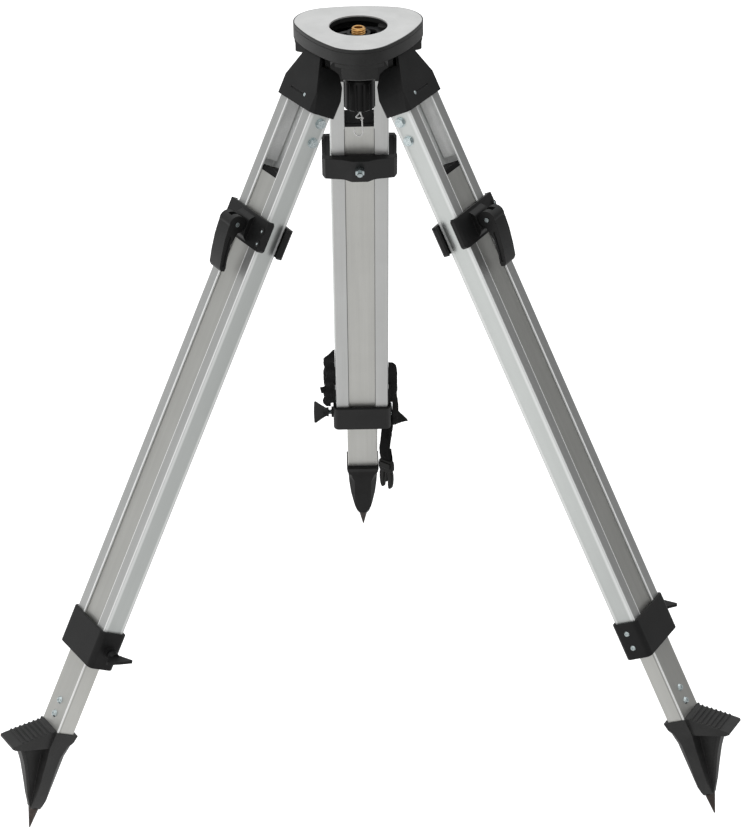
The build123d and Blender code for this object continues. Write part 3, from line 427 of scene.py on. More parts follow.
def material_for(node):
    leg = leg_of(node)
    slot = SLOT_OF[node]
    k = leg.name if leg else "head"
    part = node.split("_", 1)[1] if leg else node
    if slot == "anodised_aluminium":
        tube = part == "tube"
        return once(("al", k, tube), lambda: mat_anodised("anodised_" + ("tube_" if tube else "rail_") + k, leg, tube))
    if slot == "facing_aluminium":
        return once("facing", mat_facing)
    if slot == "cast_aluminium":
        return once(("cast", k), lambda: mat_cast("cast_aluminium_" + k, leg))
    if slot == "zinc_steel":
        return once(("zinc", k), lambda: mat_metal("zinc_steel_" + k, leg, (0.30, 0.355, 0.37), (0.70, 0.77, 0.78),
                                                   (0.20, 0.34), tint=(0.70, 0.775, 0.77)))
    if slot == "point_steel":
        return once(("point", k), lambda: mat_metal("point_steel_" + k, leg, (0.035, 0.028, 0.026), (0.085, 0.068, 0.062),
                                                    (0.34, 0.55), grain=1.2, bump=0.00006, metallic=0.8))
    if slot == "steel_wire":
        return once("wire", lambda: mat_metal("steel_wire_drawn", leg, (0.55, 0.55, 0.54), (0.86, 0.86, 0.85), (0.16, 0.30)))
    if slot == "brass":
        return once("brass", mat_brass)
    if slot == "black_steel":
        return once(("bsteel", k), lambda: mat_metal("black_steel_" + k, leg, (0.020, 0.020, 0.021), (0.050, 0.050, 0.052),
                                                     (0.28, 0.45), metallic=0.5))
    if part == "head_body":
        return once("head_body", lambda: mat_black("black_casting_head", None, 0.0165, (1.0, 1.0, 0.98), 0.9, (0.36, 0.52),
                                                   0.00011, 0.0010, 0.42, spec=0.34))
    if part == "shoe":
        # painted shade: the rear leg's shoe is made darker and less specular than the two front shoes, which are the
        # same casting
        return once(("shoe", k), lambda: mat_black("black_casting_shoe_" + k, leg, 0.0125 if k == "rear" else 0.0230, (1.0, 0.99, 0.975), 1.0,
                                                   (0.38, 0.55), 0.00012, 0.0010, 0.40,
                                                   spec=0.10 if k == "rear" else 0.34, streak="s"))
    if part == "cap":
        return once(("cap", k), lambda: mat_black("black_casting_cap_" + k, leg, 0.0105, (1.0, 1.0, 1.01), 0.7,
                                                  (0.40, 0.56), 0.00008, 0.0012, 0.34))
    if slot == "black_metal":
        return once(("bmetal", k), lambda: mat_black("black_coated_metal_" + k, leg, 0.0072, (1.0, 1.0, 1.01), 0.45,
                                                     (0.32, 0.48), 0.00005, 0.0007, 0.50, spec=0.26, coat=0.04))
    if part == "screw_knob":
        return once("knob", lambda: mat_black("black_plastic_knob", None, 0.0045, (1.0, 1.0, 1.01), 0.4, (0.26, 0.40),
                                              0.00003, 0.0006, 0.16, spec=0.22))
    if part == "tube_plug":
        return once(("plug", k), lambda: mat_black("black_plastic_plug_" + k, leg, 0.0045, (1.0, 1.0, 1.01), 0.5,
                                                   (0.45, 0.60), 0.00004, 0.0005, 0.15, spec=0.12))
    return once(("bplastic", k), lambda: mat_black("black_plastic_" + k, leg, 0.0082, (1.0, 1.0, 1.01), 0.5,
                                                   (0.38, 0.52), 0.00006, 0.0008, 0.42))


# --------------------------------------------------------- carried-over nodes
# Rounds the sharp edges of a carried-over node with modifiers only: its own mesh isn't touched.
ROUND = {
    "head_plate": 0.25, "head_body": 0.55, "screw_arm": 0.25, "screw_bush": 0.4,
    "cap": 0.9, "collar": 0.55, "jaw_outer": 0.5, "jaw_inner": 0.5, "clamp_lever": 0.6, "shoe": 0.5,
    "wing_screw": 0.35, "tube_plug": 0.3, "cap_insert": 0.4, "screw_knob": 0.3,
}


def soften(obj, width_mm, segments=2):
    w = obj.modifiers.new("join_seams", "WELD")
    w.merge_threshold = 2e-6
    d = obj.modifiers.new("flat_faces", "DECIMATE")
    d.decimate_type = "DISSOLVE"
    d.angle_limit = math.radians(0.6)
    b = obj.modifiers.new("round_edges", "BEVEL")
    b.width = width_mm * MM
    b.segments = segments
    b.limit_method = "ANGLE"
    b.angle_limit = math.radians(32)
    b.use_clamp_overlap = True
    b.harden_normals = False
    n = obj.modifiers.new("even_normals", "WEIGHTED_NORMAL")
    n.keep_sharp = False
    n.weight = 80


for name, obj in NODES.items():
    if name in ("carry_strap", "fixing_screw", "plumb_hook"):
        continue
    dress(obj, material_for(name))
    part = name.split("_", 1)[1] if leg_of(name) else name
    if part in ROUND:
        soften(obj, ROUND[part])


# ------------------------------------------------------------- mesh utilities
def finish_mesh(name, bm, matrix=None, smooth=True, angle=35.0):
    if matrix is not None:
        bmesh.ops.transform(bm, matrix=matrix, verts=bm.verts)
    bmesh.ops.recalc_face_normals(bm, faces=bm.faces)
    me = bpy.data.meshes.new(name)
    bm.to_mesh(me)
    bm.free()
    if smooth:
        me.polygons.foreach_set("use_smooth", [True] * len(me.polygons))
        me.set_sharp_from_angle(angle=math.radians(angle))
    ob = bpy.data.objects.new(name, me)
    SCENE.collection.objects.link(ob)
    return ob


def lathe(name, profile, steps=64, closed=True):
    """Turns a closed (r, z) millimetre profile about the head's axis."""
    bm = bmesh.new()
    rings = []
    for i in range(steps):
        a = 2 * math.pi * i / steps
        rings.append([bm.verts.new((r * MM * math.cos(a), r * MM * math.sin(a), z * MM)) for r, z in profile])
    m = len(profile)
    for i in range(steps):
        a, b = rings[i], rings[(i + 1) % steps]
        for j in range(m if closed else m - 1):
            bm.faces.new((a[j], a[(j + 1) % m], b[(j + 1) % m], b[j]))
    return finish_mesh(name, bm)


# ---------------------------------------------------- instrument fixing screw
def thread_piece():
    """Hollow brass 5/8 inch - 11 screw with a true helical thread, open bore and chamfered mouth."""
    pitch, outer, minor, bore = 25.4 / 11.0, 7.90, 6.62, 4.2
    top, bottom, shank = -2.0, -13.9, 7.25
    seg = 72
    per = 10                     # rings in one pitch
    rings = int((top - bottom - 1.4) / pitch * per)
    bm = bmesh.new()

    def radius(a, z):
        ph = ((z / pitch) - a / (2 * math.pi)) % 1.0
        if ph < 0.44:
            k = ph / 0.44
        elif ph < 0.56:
            k = 1.0
        else:
            k = (1.0 - ph) / 0.44
        k = min(1.0, max(0.0, k))
        r = minor + (outer - minor) * k
        # the thread runs out at the chamfered mouth
        lead = min(1.0, max(0.0, (top - z) / 1.5))
        return min(r, (outer - 1.5) + 1.5 * lead + 0.0)

    grid = []
    mouth = [(bore, -86.0), (bore, top - 1.1), (bore + 0.25, top - 0.35), (bore + 0.8, top), (outer - 1.9, top),
             (outer - 1.5, top - 0.15)]
    for i in range(seg):
        a = 2 * math.pi * i / seg
        col = [(r, z) for r, z in mouth]
        for j in range(rings + 1):
            z = (top - 0.35) + (bottom - top + 0.35) * j / rings
            col.append((radius(a, z), z))
        col += [(shank, bottom - 0.1), (shank, -51.9), (6.0, -51.9), (6.0, -86.0)]
        grid.append([bm.verts.new((r * MM * math.cos(a), r * MM * math.sin(a), z * MM)) for r, z in col])
    m = len(grid[0])
    for i in range(seg):
        a, b = grid[i], grid[(i + 1) % seg]
        for j in range(m):
            bm.faces.new((a[j], a[(j + 1) % m], b[(j + 1) % m], b[j]))
    return finish_mesh("fixing_screw_threaded", bm, angle=50)


screw = thread_piece()
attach(screw, "screw")
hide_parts("fixing_screw")
dress(screw, once("brass", mat_brass))

flange = lathe("knob_flange_washer", [(8.05, -52.0), (8.05, -56.95), (8.6, -56.95), (12.2, -56.95), (12.6, -56.7), (12.6, -55.5),
                                      (12.3, -55.2), (10.2, -54.9), (9.6, -53.0), (9.2, -52.3), (8.7, -52.0)])
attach(flange, "screw")
dress(flange, once("washer", lambda: mat_metal("zinc_washer", None, (0.60, 0.62, 0.63), (0.90, 0.92, 0.93), (0.18, 0.30))))


# ------------------------------------------------------------------ wire hook
def tube_along(name, points, radius, sides=12, rings=10):
    """A round wire swept along a smooth line through the points (millimetres), closed with domed ends."""
    pts = [Vector(p) for p in points]

    def spline(i, u):
        p0, p1, p2, p3 = pts[max(i - 1, 0)], pts[i], pts[i + 1], pts[min(i + 2, len(pts) - 1)]
        return 0.5 * ((2 * p1) + (p2 - p0) * u + (2 * p0 - 5 * p1 + 4 * p2 - p3) * u * u + (3 * p1 - p0 - 3 * p2 + p3) * u ** 3)

    line = [spline(i, k / rings) for i in range(len(pts) - 1) for k in range(rings)] + [pts[-1]]
    bm = bmesh.new()
    prev = None
    ref = Vector((1, 0, 0))
    loops = []
    for i, c in enumerate(line):
        d = (line[min(i + 1, len(line) - 1)] - line[max(i - 1, 0)]).normalized()
        u = (ref - d * ref.dot(d))
        if u.length < 1e-3:
            u = d.orthogonal()
        u.normalize()
        ref = u
        w = d.cross(u)
        loops.append([bm.verts.new((c + (u * math.cos(2 * math.pi * k / sides) + w * math.sin(2 * math.pi * k / sides)) * radius) * MM)
                      for k in range(sides)])
        if prev is not None:
            for k in range(sides):
                bm.faces.new((prev[k], prev[(k + 1) % sides], loops[-1][(k + 1) % sides], loops[-1][k]))
        prev = loops[-1]
    for loop, sgn in ((loops[0], -1), (loops[-1], 1)):
        d = ((line[1] - line[0]) if sgn < 0 else (line[-1] - line[-2])).normalized() * sgn
        c = (line[0] if sgn < 0 else line[-1])
        last = loop
        for h in (0.55, 0.9):
            rr = radius * math.sqrt(max(0.0, 1 - h * h))
            ring = [bm.verts.new((c + d * radius * h + (Vector(v.co) / MM - c).normalized() * rr) * MM) for v in loop]
            for k in range(sides):
                bm.faces.new((last[k], last[(k + 1) % sides], ring[(k + 1) % sides], ring[k]))
            last = ring
        tip = bm.verts.new((c + d * radius) * MM)
        for k in range(sides):
            bm.faces.new((last[k], last[(k + 1) % sides], tip))
    return finish_mesh(name, bm, angle=60)


HZ = JOINTS["hook_swing"]["pos_m"][2] * 1000.0
loop_pts = [(0, -2.0, HZ + 0.4), (0, -1.0, HZ + 1.75), (0, 1.0, HZ + 1.75), (0, 2.0, HZ + 0.4), (0.1, 0.9, HZ - 4.0),
            (-2.6, 0.5, HZ - 7.2), (-3.9, 0.2, HZ - 9.2), (-1.6, 0, HZ - 10.2), (2.2, 0, HZ - 9.8)]
hook = tube_along("plumb_hook_wire", loop_pts[:5] + loop_pts[5:] + [
    (2.5, -0.2, HZ - 14.0), (2.7, 0, HZ - 20.0), (3.5, 0, HZ - 26.6), (2.2, 0, HZ - 29.9), (-1.4, 0, HZ - 31.2),
    (-4.7, 0, HZ - 29.5), (-6.2, 0, HZ - 26.3), (-5.5, 0, HZ - 23.0)], 0.75)
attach(hook, "hook")
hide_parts("plumb_hook")
dress(hook, material_for("plumb_hook"))
back = tube_along("plumb_hook_twist", [(0, -2.0, HZ + 0.4), (0.5, -1.6, HZ - 2.0), (1.2, -0.9, HZ - 5.0), (2.6, -1.3, HZ - 9.0),
                                       (3.5, 0.4, HZ - 10.6), (2.4, 1.3, HZ - 11.6), (1.4, 0.1, HZ - 12.4)], 0.7)
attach(back, "hook")
dress(back, material_for("plumb_hook"))


# --------------------------------------------------------------- carry strap
def clear_of_leg(q):
    """Keep loose webbing off the rails' side walls and off the collar."""
    if abs(q.y) < 19.2 and COLLAR_FROM < q.z < COLLAR_TO:
        limit = 40.0 if q.x > 0 else 39.0
    elif abs(q.y) < 13.4:
        limit = 33.95
    else:
        return q
    if 30.0 < abs(q.x) < limit:
        q.x = math.copysign(limit, q.x)
    return q


COLLAR_FROM, COLLAR_TO = 657.5, 705.0


def ribbon(name, path, width, thick=1.5, steps=8, across=8, crumple=0.0, seed=0.0, leg=None, skew=False):
    """Flat webbing along a path of (centre, width direction) pairs in leg millimetres. Rounded edges, gentle waves."""
    cs = [Vector(c) for c, _ in path]
    ws = [Vector(w).normalized() for _, w in path]
    wid = width if isinstance(width, (list, tuple)) else [width] * len(path)

    def cat(a, i, u):
        p0, p1, p2, p3 = a[max(i - 1, 0)], a[i], a[i + 1], a[min(i + 2, len(a) - 1)]
        return 0.5 * ((2 * p1) + (p2 - p0) * u + (2 * p0 - 5 * p1 + 4 * p2 - p3) * u * u + (3 * p1 - p0 - 3 * p2 + p3) * u ** 3)

    line, wide, size = [], [], []
    for i in range(len(cs) - 1):
        for k in range(steps):
            u = k / steps
            line.append(cat(cs, i, u))
            wide.append((ws[i].lerp(ws[i + 1], u)).normalized())
            size.append(wid[i] * (1 - u) + wid[i + 1] * u)
    line.append(cs[-1]); wide.append(ws[-1]); size.append(wid[-1])
    bm = bmesh.new()
    uvl = bm.loops.layers.uv.new("ribbon")
    rows, vs, run = [], [], 0.0
    for i, c in enumerate(line):
        d = (line[min(i + 1, len(line) - 1)] - line[max(i - 1, 0)])
        d.normalize()
        w = wide[i].normalized() if skew else (wide[i] - d * wide[i].dot(d)).normalized()
        nrm = d.cross(w).normalized()
        if i:
            run += (c - line[i - 1]).length
        row, us = [], []
        half, th = size[i] / 2, thick / 2
        prof = []
        for k in range(across + 1):
            x = -half + 2 * half * k / across
            e = min(1.0, (half - abs(x)) / 0.9)
            prof.append((x, th * (0.45 + 0.55 * math.sqrt(max(e, 0.0)))))
        ring = [(x, h) for x, h in prof] + [(x, -h) for x, h in reversed(prof)]
        for x, h in ring:
            q = c + w * x + nrm * h
            if crumple:
                f = noise.noise_vector((c + w * x) * 0.085 + Vector((seed, 3.1, 7.7)))
                f2 = noise.noise_vector((c + w * x) * 0.23 + Vector((seed + 5.0, 1.1, 2.7)))
                q += (f + f2 * 0.45) * crumple
            row.append(bm.verts.new(clear_of_leg(q)))
            us.append(x)
        rows.append(row)
        vs.append((us, run))
    m = len(rows[0])
    for i in range(len(rows) - 1):
        for k in range(m):
            k2 = (k + 1) % m
            f = bm.faces.new((rows[i][k], rows[i][k2], rows[i + 1][k2], rows[i + 1][k]))
            for lp, (u, v) in zip(f.loops, ((vs[i][0][k], vs[i][1]), (vs[i][0][k2], vs[i][1]),
                                            (vs[i + 1][0][k2], vs[i + 1][1]), (vs[i + 1][0][k], vs[i + 1][1]))):
                lp[uvl].uv = (u, v)
    for row, (us, v) in ((rows[0], vs[0]), (rows[-1], vs[-1])):
        f = bm.faces.new(row)
        for lp, u in zip(f.loops, us):
            lp[uvl].uv = (u, v)
    return finish_mesh(name, bm, leg.matrix(), angle=50)


REAR = LEGS["rear"]
WEB = mat_webbing("nylon_webbing_black")
S_DIR = (0, 0, 1)


def webbing(*args, **kw):
    ob = ribbon(*args, leg=REAR, **kw)
    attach(ob, "rear_leg")
    dress(ob, WEB)
    return ob


def lean(a, b=0.0, c=0.0):
    """Width direction, turned a degrees from n towards t, with a little s."""
    return (math.sin(math.radians(a)), math.cos(math.radians(a)), c)


def tilt(t=0.0, n=0.0):
    """Width direction down the leg, leaning a little in t and n."""
    return (t, n, 1.0)


# loop round the back of the rails, turned forward on both sides
band = webbing("strap_back_band", [((-34.9, -11.0, 634), S_DIR), ((-36.2, -4.0, 634), S_DIR), ((-36.6, 5.0, 634), S_DIR),
                                   ((-36.4, 12.0, 634), S_DIR), ((-33.8, 16.6, 633), S_DIR),
                                   ((-26.0, 17.5, 632), S_DIR), ((-12.0, 17.4, 631), S_DIR), ((6.0, 17.5, 631), S_DIR),
                                   ((24.0, 17.4, 630), S_DIR), ((33.2, 16.6, 630), S_DIR), ((36.4, 12.0, 630), S_DIR),
                                   ((36.7, 4.0, 630), S_DIR), ((36.0, -5.0, 630), S_DIR), ((34.9, -10.0, 630), S_DIR)], 38.0,
               crumple=0.25, seed=1.0)
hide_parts("carry_strap")

def layer(name, rows, thick=1.8, crumple=0.8, seed=0.0, across=12, steps=5):
    """Webbing lying beside the rail and seen from inside the legs: rows of (s, inner t, outer t, n)."""
    path = [(((a + b) / 2, n, s_), (1.0, 0.0, 0.0)) for s_, a, b, n in rows]
    return webbing(name, path, [abs(b - a) for s_, a, b, n in rows], thick, steps=steps, across=across, crumple=crumple,
                   seed=seed, skew=True)


# left side: the spare webbing is bunched in crumpled layers against the rail
layer("strap_left_front", [(546, 32.0, 35.4, -5.5), (553, 32.0, 40.6, -6.2), (561.5, 32.0, 48.0, -7.0), (574, 32.0, 47.0, -5.8),
                           (587, 32.0, 45.6, -7.2), (601, 32.0, 44.8, -6.0), (610, 32.0, 48.0, -7.0), (622, 32.0, 45.6, -5.6),
                           (634, 32.0, 46.8, -7.0), (644, 32.0, 48.6, -6.4), (652, 32.0, 50.4, -6.0), (656.5, 32.0, 50.0, -5.4),
                           (659.0, 38.0, 49.6, -5.4), (665, 39.0, 46.8, -5.0)], 2.2, crumple=0.8, seed=2.0, across=16)
layer("strap_left_second", [(562, 32.0, 40.0, -1.8), (570, 32.0, 46.6, -2.6), (582, 32.0, 48.0, -1.4), (597, 32.0, 44.2, -2.6),
                            (612, 32.0, 48.6, -1.2), (626, 32.0, 46.2, -2.6), (642, 32.0, 49.4, -1.6), (655, 32.0, 47.0, -1.0)],
      1.8, crumple=1.2, seed=9.0, across=14)
layer("strap_left_third", [(574, 32.0, 43.0, 3.0), (584, 32.0, 46.0, 3.8), (600, 32.0, 45.2, 2.8), (618, 32.0, 47.4, 3.8),
                           (638, 32.0, 45.0, 3.2), (654, 32.0, 43.0, 3.0)], 1.8, crumple=1.2, seed=17.0, across=14)
for i, (at_s, out, wid) in enumerate(((600, 46.0, 24), (617, 47.6, 30), (636, 46.6, 25))):
    webbing("strap_left_loop_%d" % (i + 1), [((35.8, 15.5, at_s + 7), S_DIR), ((40.5, 14.6, at_s + 6), S_DIR),
                                             ((out - 1.0, 11.0, at_s + 4), S_DIR), ((out, 5.0, at_s + 1), S_DIR),
                                             ((out - 0.6, -1.0, at_s - 1), S_DIR), ((out - 3.4, -4.6, at_s - 2), S_DIR)],
            [wid - 6, wid - 2, wid, wid, wid - 3, wid - 9], 1.6, steps=7, across=12, crumple=1.1, seed=21.0 + 5 * i, skew=True)
webbing("strap_left_tab", [((44.5, -4.6, 629.5), S_DIR), ((47.5, -5.0, 630.2), S_DIR), ((50.0, -5.2, 630.8), S_DIR),
                           ((52.4, -5.2, 631.2), S_DIR)], 12.5, 2.6, steps=6, crumple=0.25, seed=4.0)

# right side: a doubled flat fold with a slanting top, running down past the collar
layer("strap_right_front", [(574, -32.0, -35.0, -5.4), (582, -32.0, -39.8, -5.6), (590, -32.0, -44.4, -6.0), (606, -32.0, -44.8, -5.8),
                            (624, -32.0, -44.6, -6.2), (643, -32.0, -44.8, -6.0), (656, -32.0, -45.6, -6.0),
                            (658.5, -37.0, -46.0, -6.0), (672, -37.0, -46.8, -5.8), (690, -37.0, -46.6, -5.4),
                            (702, -37.0, -45.6, -5.0), (711, -37.0, -44.0, -4.0)], 2.0, crumple=0.25, seed=12.0, across=16)
layer("strap_right_behind", [(584, -32.0, -40.0, 0.6), (594, -32.0, -43.6, 0.2), (616, -32.0, -44.0, 0.8), (643, -32.0, -44.2, 0.4),
                             (655, -32.0, -44.6, 0.6), (659, -37.0, -45.4, 0.6), (676, -37.0, -46.0, 0.4), (698, -37.0, -45.0, 0.6)],
      2.0, crumple=0.4, seed=21.0, across=14)
webbing("strap_right_turn", [((-35.6, 15.0, 622), S_DIR), ((-39.6, 14.0, 622), S_DIR), ((-43.4, 10.0, 622), S_DIR),
                             ((-44.4, 4.0, 622), S_DIR), ((-44.4, -2.0, 622), S_DIR), ((-43.2, -4.8, 622), S_DIR)],
        [40, 42, 42, 40, 40, 36], 1.7, steps=7, across=12, crumple=0.4, seed=30.0, skew=True)
webbing("strap_turned_corner", [((-39.6, 3.0, 700.0), S_DIR), ((-44.5, 4.0, 704.8), S_DIR), ((-50.0, 5.5, 710.2), S_DIR),
                                ((-55.0, 6.8, 715.2), S_DIR), ((-59.2, 8.0, 719.6), S_DIR)], [45, 34, 21, 10, 1.2], 2.4,
        steps=7, across=10, crumple=0.35, seed=5.0, skew=True)

# the tail hangs plumb from the fold
DOWN = Vector((0.0, REAR.n.z * -1.0, REAR.s.z * -1.0)).normalized()
HANG = Vector((-33.4, 0.0, 704.0))


def hang(dt, dn, drop):
    return tuple(HANG + Vector((dt, dn, 0.0)) + DOWN * drop)


webbing("strap_tail", [(hang(-1.0, 1.5, -14.0), lean(30)), (hang(-0.6, 1.0, 0.0), lean(38)), (hang(1.6, 0.0, 16.0), lean(52)),
                       (hang(3.6, -0.6, 32.0), lean(60)), (hang(4.6, -1.0, 48.0), lean(58)), (hang(3.6, -0.6, 62.0), lean(48)),
                       (hang(2.8, 0.0, 74.0), lean(40))], [19, 18, 16, 15, 15.5, 16, 16], 1.7, steps=9, crumple=0.9, seed=31.0)
webbing("strap_tail_turnback", [(hang(2.2, 2.8, 46.0), lean(56)), (hang(1.0, 3.2, 56.0), lean(48)), (hang(0.4, 2.8, 66.0), lean(42)),
                                (hang(1.8, 1.6, 73.5), lean(38))], [14.5, 15.5, 15.5, 15.5], 1.6, steps=7, crumple=0.5, seed=44.0)


# ------------------------------------------------------- moulded strap buckle
def slab(name, outline, thick, frame_m, holes=(), bevel=0.8, segments=3):
    """A flat moulding: an outline in millimetres given thickness, with its rim rounded by a modifier."""
    bm = bmesh.new()
    lower = [bm.verts.new((x, y, -thick / 2)) for x, y in outline]
    upper = [bm.verts.new((x, y, thick / 2)) for x, y in outline]
    m = len(outline)
    bm.faces.new(lower[::-1])
    bm.faces.new(upper)
    for i in range(m):
        bm.faces.new((lower[i], lower[(i + 1) % m], upper[(i + 1) % m], upper[i]))
    ob = finish_mesh(name, bm, frame_m, angle=40)
    b = ob.modifiers.new("round_rim", "BEVEL")
    b.width, b.segments, b.limit_method, b.angle_limit = bevel * MM, segments, "ANGLE", math.radians(38)
    n = ob.modifiers.new("even_normals", "WEIGHTED_NORMAL")
    n.keep_sharp = False
    return ob


def hang_frame(drop, turn, dt=0.0, dn=0.0, off=0.0):
    """Axes on the hanging tail: across it, down it, and out of its face."""
    x = Vector(lean(turn)); x = (x - DOWN * x.dot(DOWN)).normalized()
    z = x.cross(DOWN).normalized()
    o = HANG + Vector((dt, dn, 0.0)) + DOWN * drop + z * off
    m = Matrix.Identity(4)
    for i in range(3):
        m[i][0], m[i][1], m[i][2], m[i][3] = x[i], DOWN[i], z[i], o[i]
    return REAR.matrix() @ m


BUCKLE = once("buckle", lambda: mat_black("black_plastic_buckle", REAR, 0.0062, (1.04, 1.0, 0.90), 0.35, (0.30, 0.44), 0.00003,
                                          0.0005, 0.35, spec=0.24))


def buckle_piece(name, outline, thick, off=0.0, **kw):
    ob = slab(name, outline, thick, hang_frame(57.0, 46.0, 2.6, 0.0, off), **kw)
    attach(ob, "rear_leg")
    dress(ob, BUCKLE)
    return ob


def flip(pts):
    return [(-x, y) for x, y in reversed(pts)]


buckle_piece("buckle_frame_bar", [(-10.2, 5.0), (-9.0, 3.4), (9.0, 3.4), (10.4, 5.0), (11.4, 9.0), (11.4, 15.5), (9.8, 19.6), (5.0, 21.2),
                                  (-5.0, 21.2), (-9.8, 19.6), (-11.4, 15.5), (-11.4, 9.0)], 6.4, bevel=1.4)
prong = [(2.3, 20.4), (9.4, 19.0), (10.4, 24.0), (10.5, 31.0), (9.8, 38.0), (8.4, 43.0), (6.2, 45.2), (4.0, 44.2), (3.2, 40.0),
         (3.3, 32.0), (2.7, 25.0)]
buckle_piece("buckle_prong_right", prong, 5.4, bevel=1.1)
buckle_piece("buckle_prong_left", flip(prong), 5.4, bevel=1.1)
buckle_piece("buckle_guide_pin", [(-2.1, 20.6), (2.1, 20.6), (2.3, 30.0), (1.8, 35.0), (0.0, 36.4), (-1.8, 35.0), (-2.3, 30.0)], 4.2,
             bevel=0.9)
buckle_piece("buckle_web_bridge", [(-8.8, 6.4), (8.8, 6.4), (9.0, 12.0), (8.0, 14.6), (-8.0, 14.6), (-9.0, 12.0)], 2.4, off=3.7, bevel=0.7)


# ---------------------------------------------------- small turned fittings
def turned(name, leg, t, n, s, axis, profile, body, mat, steps=28, spin=0.0):
    """A lathe-turned piece on a leg: (radius, height) pairs in millimetres about axis 't', 'n', '-t' or '-n'."""
    d = {"t": (1, 0, 0), "-t": (-1, 0, 0), "n": (0, 1, 0), "-n": (0, -1, 0)}[axis]
    z = Vector(d)
    x = Vector((0, 0, 1))
    y = z.cross(x)
    bm = bmesh.new()
    rings = []
    for i in range(steps):
        a = 2 * math.pi * i / steps + spin
        u = x * math.cos(a) + y * math.sin(a)
        rings.append([bm.verts.new(Vector((t, n, s)) + u * r + z * h) for r, h in profile[:-1]])
    tip = bm.verts.new(Vector((t, n, s)) + z * profile[-1][1])
    base = bm.verts.new(Vector((t, n, s)) + z * profile[0][1])
    m = len(profile) - 1
    for i in range(steps):
        a, b = rings[i], rings[(i + 1) % steps]
        for j in range(m - 1):
            bm.faces.new((a[j], a[j + 1], b[j + 1], b[j]))
        bm.faces.new((a[m - 1], tip, b[m - 1]))
        bm.faces.new((base, a[0], b[0]))
    ob = finish_mesh(name, bm, leg.matrix(), angle=40)
    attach(ob, body)
    dress(ob, mat)
    return ob


for key, leg in LEGS.items():
    zinc = once(("zinc", key), lambda: None)
    shade = once(("bmetal", key), lambda: None)
    side = -1.0 if key == "right" else 1.0
    # small screw in the cap's slot
    turned(key + "_cap_screw", leg, 13.5 * side, 15.2, 20.8, "n",
           [(2.1, 0.0), (2.1, 0.95), (1.75, 1.35), (1.0, 1.5), (0.85, 1.1), (0.0, 1.0)], key + "_leg", zinc)
    # two rivets in the outer jaw: a dished black rim with a bright shank end
    for i, s_ in enumerate((172.5, 187.0)):
        turned("%s_jaw_rivet_%d" % (key, i + 1), leg, 37.8, 17.4, s_, "n",
               [(3.3, 0.0), (3.3, 0.8), (3.0, 1.4), (2.4, 1.75), (1.9, 1.6), (1.6, 1.3), (0.0, 1.25)],
               key + "_lower", shade)
        turned("%s_jaw_rivet_%d_end" % (key, i + 1), leg, 37.8, 18.3, s_, "n",
               [(1.35, 0.0), (1.35, 0.7), (1.1, 1.0), (0.5, 1.15), (0.0, 1.15)], key + "_lower", zinc, steps=20)
    # threaded stud between the collar's boss and the wing
    stud = [(2.6, 0.0)]
    for k in range(7):
        stud += [(3.28, 0.20 + 0.5 * k), (2.75, 0.45 + 0.5 * k)]
    stud += [(2.6, 3.65), (0.0, 3.66)]
    turned(key + "_wing_stud", leg, 39.5, -3.0, 682.0, "t", stud, key + "_wing", zinc)
print("quick pieces done")

# ------------------------------------------------------------------ the studio
def glow(nt, camera_value, other):
    """Emission strength that differs between what the camera sees and what lights the object."""
    lp = nt.nodes.new("ShaderNodeLightPath")
    mixer = nt.nodes.new("ShaderNodeMix")
    mixer.data_type = "FLOAT"
    nt.links.new(lp.outputs["Is Camera Ray"], mixer.inputs[0])
    if isinstance(other, bpy.types.NodeSocket):
        nt.links.new(other, mixer.inputs[2])
    else:
        mixer.inputs[2].default_value = other
    mixer.inputs[3].default_value = camera_value
    return mixer.outputs[0]


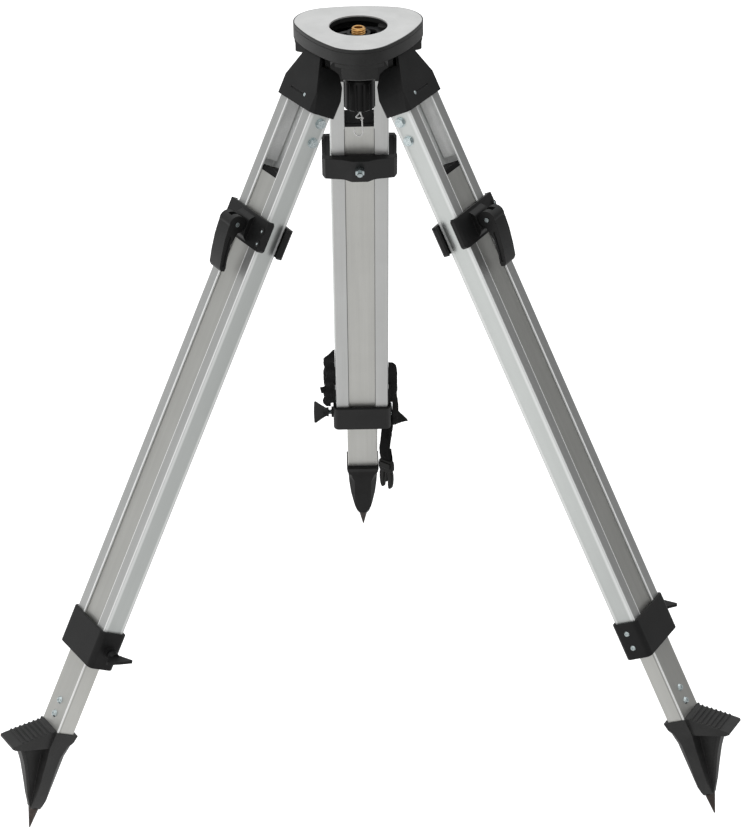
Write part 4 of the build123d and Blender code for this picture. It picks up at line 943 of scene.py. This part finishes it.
def studio():
    me = bpy.data.meshes.new("studio_floor")
    lo, hi = CAD_BOX
    z = lo.z - 0.0005
    bm = bmesh.new()
    n = 24
    size = 16.0
    grid = [[bm.verts.new(((i / n - 0.5) * size, (j / n - 0.5) * size, z)) for j in range(n + 1)] for i in range(n + 1)]
    for i in range(n):
        for j in range(n):
            bm.faces.new((grid[i][j], grid[i + 1][j], grid[i + 1][j + 1], grid[i][j + 1]))
    bm.to_mesh(me)
    bm.free()
    floor = bpy.data.objects.new("studio_floor", me)
    SCENE.collection.objects.link(floor)
    m = Net("studio_floor_pale")
    p = m.node("ShaderNodeTexCoord").outputs["Object"]
    x, y, _ = m.split(p)
    g = m.noise(p, 1.3, 3.0, 0.5)
    # pale paper: lit softly for the camera, and a quieter card on the right for what the metal mirrors
    m.set(Base_Color=m.ramp(g, (0.3, (0.80, 0.80, 0.80)), (0.7, (0.82, 0.82, 0.82))), Roughness=0.8)
    m.put(m.bsdf.inputs["Specular IOR Level"], 0.05)
    side = m.math("ADD", m.remap(x, -0.55, 0.0, FLOOR_LEFT, FLOOR_MID), m.remap(x, 0.0, 0.5, 0.0, FLOOR_RIGHT - FLOOR_MID))
    m.put(m.bsdf.inputs["Emission Color"], (1.0, 1.0, 1.0))
    m.put(m.bsdf.inputs["Emission Strength"], FLOOR_CAMERA)
    card = m.node("ShaderNodeEmission", {0: (1.0, 1.0, 1.0), 1: side})
    lp = m.node("ShaderNodeLightPath")
    mixed = m.node("ShaderNodeMixShader", {0: lp.outputs["Is Camera Ray"], 1: card.outputs[0], 2: m.bsdf.outputs[0]})
    m.nt.links.new(mixed.outputs[0], m.out.inputs[0])
    me.materials.append(m.mat)

    world = bpy.data.worlds.new("studio_world")
    SCENE.world = world
    world.use_nodes = True
    nt = world.node_tree
    nt.nodes.clear()
    out = nt.nodes.new("ShaderNodeOutputWorld")
    bg = nt.nodes.new("ShaderNodeBackground")
    tc = nt.nodes.new("ShaderNodeTexCoord")
    sep = nt.nodes.new("ShaderNodeSeparateXYZ")
    nt.links.new(tc.outputs["Generated"], sep.inputs[0])

    def rng(src, a, b, c, d):
        r = nt.nodes.new("ShaderNodeMapRange")
        nt.links.new(src, r.inputs[0])
        for i, v in enumerate((a, b, c, d)):
            r.inputs[1 + i].default_value = v
        return r.outputs[0]

    # brighter walls on the left than on the right, and a pale ceiling
    wall = rng(sep.outputs[0], -0.8, 0.8, WALL_LEFT, WALL_RIGHT)
    up = rng(sep.outputs[2], 0.05, 0.50, 0.0, 1.0)
    mixer = nt.nodes.new("ShaderNodeMix")
    mixer.data_type = "FLOAT"
    nt.links.new(up, mixer.inputs[0])
    nt.links.new(wall, mixer.inputs[2])
    mixer.inputs[3].default_value = CEILING
    nt.links.new(glow(nt, 1.0, mixer.outputs[0]), bg.inputs[1])
    bg.inputs[0].default_value = (0.99, 1.0, 1.0, 1)
    nt.links.new(bg.outputs[0], out.inputs[0])

    def area(name, loc, target, size, power, color=(1, 1, 1), size_y=None):
        d = bpy.data.lights.new(name, "AREA")
        d.shape = "RECTANGLE"
        d.size, d.size_y = size, size_y or size
        d.energy, d.color = power, color
        o = bpy.data.objects.new(name, d)
        o.location = loc
        o.rotation_mode = "QUATERNION"
        o.rotation_quaternion = (Vector(target) - Vector(loc)).to_track_quat("-Z", "Y")
        SCENE.collection.objects.link(o)
        return o

    mid = (lo + hi) / 2
    area("key_softbox", (-2.3, -1.5, 1.9), mid, 1.6, KEY_W, (1.0, 0.995, 0.985), 1.8)
    area("fill_softbox", (2.6, -1.6, 0.8), mid, 1.4, FILL_W, (0.98, 0.99, 1.0), 1.6)
    area("top_softbox", (0.0, 0.4, 2.4), mid, 2.4, TOP_W, (1, 1, 1), 2.0)


def camera():
    """The camera stands in front of the gap between the left and right legs, above the head, looking down."""
    pos = Vector((-24.648, -2982.917, 1106.278)) * MM
    yaw, pitch, roll = math.radians(0.662), math.radians(27.94), math.radians(0.815)
    fwd = Vector((math.sin(yaw) * math.cos(pitch), math.cos(yaw) * math.cos(pitch), -math.sin(pitch)))
    right = Vector((math.cos(yaw), -math.sin(yaw), 0.0))
    down = fwd.cross(right)
    r2 = right * math.cos(roll) + down * math.sin(roll)
    d2 = -right * math.sin(roll) + down * math.cos(roll)
    data = bpy.data.cameras.new("camera")
    data.sensor_fit = "AUTO"
    data.sensor_width = 36.0
    data.lens = 2930.0 / 831.0 * 36.0
    data.clip_start, data.clip_end = 0.05, 60.0
    cam = bpy.data.objects.new("camera", data)
    SCENE.collection.objects.link(cam)
    m = Matrix.Identity(4)
    for i in range(3):
        m[i][0], m[i][1], m[i][2], m[i][3] = r2[i], -d2[i], -fwd[i], pos[i]
    cam.matrix_world = m
    SCENE.camera = cam


studio()
camera()
SCENE.view_settings.view_transform = "Standard"
SCENE.view_settings.look = "None"
SCENE.view_settings.exposure = 0.0
SCENE.view_settings.gamma = 1.0
